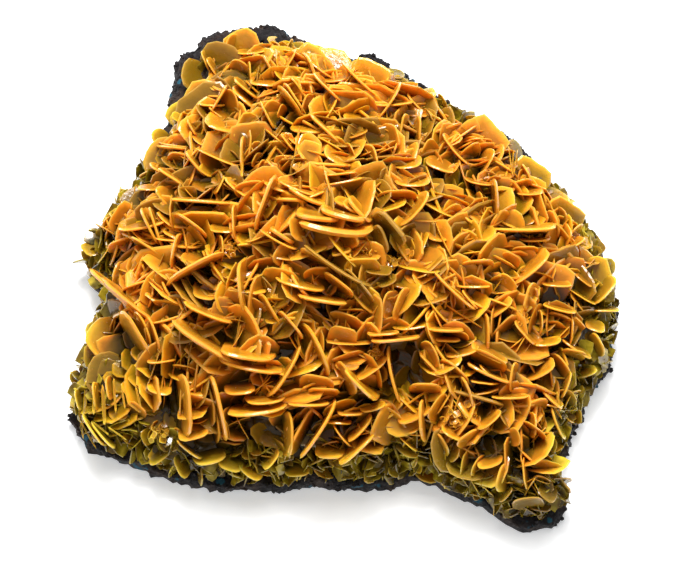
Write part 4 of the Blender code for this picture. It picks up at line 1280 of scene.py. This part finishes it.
class SPECIMEN_OT_roses(bpy.types.Operator):
    """Makes the open roses: a bowl of large leaning plates with smaller ones crossing inside"""

    bl_idname = "specimen.roses"
    bl_label = "Open roses"

    def execute(self, context):
        sizes = context.scene.specimen_sizes
        chance = random.Random(77)
        crust = Crust(seed=12, sides=16)
        for middle in scattered(sizes.mm("rose_spacing"), 1.4, 6000, chance):
            if middle.z < FOOT_HEIGHT + 2 or bare_at(middle) > 0.3:
                continue
            ripe = ripe_at(middle)
            self.grow(crust, middle, chance, sizes.mm("most_radius") * (0.45 + 0.55 * ripe))
        crust.finish("wulfenite_roses")
        return {"FINISHED"}

    def grow(self, crust, middle, chance, largest):
        """Grows one rose whose largest plates have this radius."""
        outward = outward_at(middle)
        start = outward.orthogonal().normalized()
        tone = chance.uniform(0.1, 1.0)
        petals = chance.randint(4, 6)
        first = chance.uniform(0, math.tau)
        for number in range(petals):
            side = start.copy()
            turn = first + number * math.tau / petals + chance.gauss(0, 0.25)
            side.rotate(Matrix.Rotation(turn, 3, outward))
            lean = chance.uniform(0.35, 0.95)
            normal = outward * math.sin(lean) - side * math.cos(lean)
            radius = largest * chance.uniform(0.7, 1.05)
            place = middle + side * radius * 0.75
            place += outward * (chance.uniform(-0.8, 0.4) + crown_lift(place))
            grow_plate(crust, place, normal, radius, tone, chance)
        for _ in range(chance.randint(3, 5)):
            normal = start.copy()
            normal.rotate(Matrix.Rotation(chance.uniform(0, math.tau), 3, outward))
            normal += outward * chance.gauss(0, 0.25)
            place = middle + outward * chance.uniform(-0.5, 0.6) + normal * chance.gauss(0, 1.0)
            radius = largest * chance.uniform(0.45, 0.75)
            grow_plate(crust, place, normal, radius, tone, chance, thick=0.8)


class SPECIMEN_OT_margin_plates(bpy.types.Operator):
    """Makes the small clear olive plates on the margins and the front flank"""

    bl_idname = "specimen.margin_plates"
    bl_label = "Clear margin plates"

    def execute(self, context):
        chance = random.Random(55)
        crust = Crust(56, 8, squareness=(3.4, 7.0), material=clear_wulfenite_material)
        for place in scattered(1.4, 1.3, 50000, chance):
            if place.z < FOOT_HEIGHT + 2.2 or bare_at(place) > 0.4:
                continue
            if ripe_at(place) > chance.uniform(0.25, 0.6):
                continue
            outward = outward_at(place)
            normal = outward.orthogonal().normalized()
            normal.rotate(Matrix.Rotation(chance.uniform(0, math.tau), 3, outward))
            normal += outward * chance.gauss(0, 0.7)
            radius = chance.uniform(1.0, 2.7)
            grow_plate(crust, place + outward * chance.gauss(0, 0.5), normal, radius, 0.2, chance)
        crust.finish("wulfenite_clear_margin")
        return {"FINISHED"}


class SPECIMEN_OT_granules(bpy.types.Operator):
    """Makes the clusters of tiny bright crystals"""

    bl_idname = "specimen.granules"
    bl_label = "Granules"

    def execute(self, context):
        crust = Crust(seed=31, sides=8)
        chance = random.Random(32)
        for u, v, reach in GRANULE_CLUSTERS:
            middle = seen_placement(u, v, 1, 0, 0.4).translation
            for _ in range(round(reach * 16)):
                away = Vector((chance.gauss(0, 1), chance.gauss(0, 1), chance.gauss(0, 0.6)))
                turned = any_turn(chance)
                place = middle + away * reach * 0.45
                crust.add(Matrix.Translation(place) @ turned, chance.uniform(0.35, 0.9), 0.7, 1.2)
        crust.finish("wulfenite_granules")
        return {"FINISHED"}


class SPECIMEN_OT_needles(bpy.types.Operator):
    """Makes the needles and narrow laths that stand out between the plates"""

    bl_idname = "specimen.needles"
    bl_label = "Needles"

    def execute(self, context):
        crust = Crust(seed=61, sides=8)
        for *seen, width in NEEDLES:
            ends = [seen_placement(u, v, 1, 0, 2.6).translation for u, v in (seen[:2], seen[2:])]
            along = (ends[1] - ends[0]).normalized()
            over = TO_EYE.cross(along).normalized()
            radius = (ends[1] - ends[0]).length / 2
            middle = kept_inside((ends[0] + ends[1]) / 2, TO_EYE, radius)
            placement = placed(middle, along, over, along.cross(over))
            crust.add(placement, radius, tone=0.9, thick=0.8, narrow=width / 2 / radius)
        crust.finish("wulfenite_needles")
        return {"FINISHED"}


class SPECIMEN_OT_stage(bpy.types.Operator):
    """Makes the white paper, the studio lights and the camera"""

    bl_idname = "specimen.stage"
    bl_label = "Stage"

    def execute(self, context):
        scene = context.scene
        made = bmesh.new()
        bmesh.ops.create_grid(made, x_segments=1, y_segments=1, size=PAPER_HALF_WIDTH)
        mesh = bpy.data.meshes.new("paper")
        made.to_mesh(mesh)
        made.free()
        mesh.materials.append(paper_material())
        paper = bpy.data.objects.new("paper", mesh)
        scene.collection.objects.link(paper)
        for light in LIGHTS:
            self.add_light(*light)
        camera_data = bpy.data.cameras.new("camera")
        camera_data.sensor_width = SENSOR_WIDTH
        camera_data.lens = SENSOR_WIDTH * EYE_DISTANCE / (PICTURE_WIDTH * MM_PER_PIXEL)
        camera_data.clip_start = 0.01
        camera = bpy.data.objects.new("camera", camera_data)
        camera.location = EYE * MM
        camera.rotation_euler = TO_EYE.to_track_quat("Z", "Y").to_euler()
        scene.collection.objects.link(camera)
        scene.camera = camera
        world = bpy.data.worlds.new("studio")
        world.use_nodes = True
        backdrop = world.node_tree.nodes["Background"]
        backdrop.inputs["Color"].default_value = linear("#FFFFFF")
        backdrop.inputs["Strength"].default_value = STUDIO_BRIGHTNESS
        scene.world = world
        scene.view_settings.view_transform = "Standard"
        return {"FINISHED"}

    def add_light(self, name, place, size, power, glinting):
        """A square soft light that points at the specimen, and may glint in its faces."""
        data = bpy.data.lights.new(name, "AREA")
        data.size = size
        data.energy = power
        light = bpy.data.objects.new(name, data)
        light.location = place
        light.rotation_euler = (Vector(place) - TARGET * MM).to_track_quat("Z", "Y").to_euler()
        light.visible_glossy = glinting
        bpy.context.scene.collection.objects.link(light)


class SPECIMEN_PT_panel(bpy.types.Panel):
    """The specimen's tools in the 3D view's sidebar"""

    bl_label = "Specimen"
    bl_space_type = "VIEW_3D"
    bl_region_type = "UI"
    bl_category = "Specimen"

    def draw(self, context):
        for group in (context.scene.specimen_sizes, context.scene.specimen_colours):
            for name in group.__annotations__:
                self.layout.prop(group, name)
        for operator in OPERATORS:
            self.layout.operator(operator.bl_idname)


OPERATORS = (
    SPECIMEN_OT_stage, SPECIMEN_OT_matrix, SPECIMEN_OT_grains, SPECIMEN_OT_druse,
    SPECIMEN_OT_listed_plates, SPECIMEN_OT_rosettes, SPECIMEN_OT_roses,
    SPECIMEN_OT_margin_plates, SPECIMEN_OT_granules, SPECIMEN_OT_needles,
)
CLASSES = (SpecimenSizes, SpecimenColours, *OPERATORS, SPECIMEN_PT_panel)


def register():
    for kind in CLASSES:
        bpy.utils.register_class(kind)
    bpy.types.Scene.specimen_sizes = bpy.props.PointerProperty(type=SpecimenSizes)
    bpy.types.Scene.specimen_colours = bpy.props.PointerProperty(type=SpecimenColours)


def unregister():
    del bpy.types.Scene.specimen_colours
    del bpy.types.Scene.specimen_sizes
    for kind in reversed(CLASSES):
        bpy.utils.unregister_class(kind)


def main():
    register()
    bpy.ops.specimen.stage()
    bpy.ops.specimen.matrix()
    bpy.ops.specimen.grains()
    bpy.ops.specimen.druse()
    bpy.ops.specimen.listed_plates()
    bpy.ops.specimen.rosettes()
    bpy.ops.specimen.roses()
    bpy.ops.specimen.margin_plates()
    bpy.ops.specimen.granules()
    bpy.ops.specimen.needles()


if __name__ == "__main__":
    main()
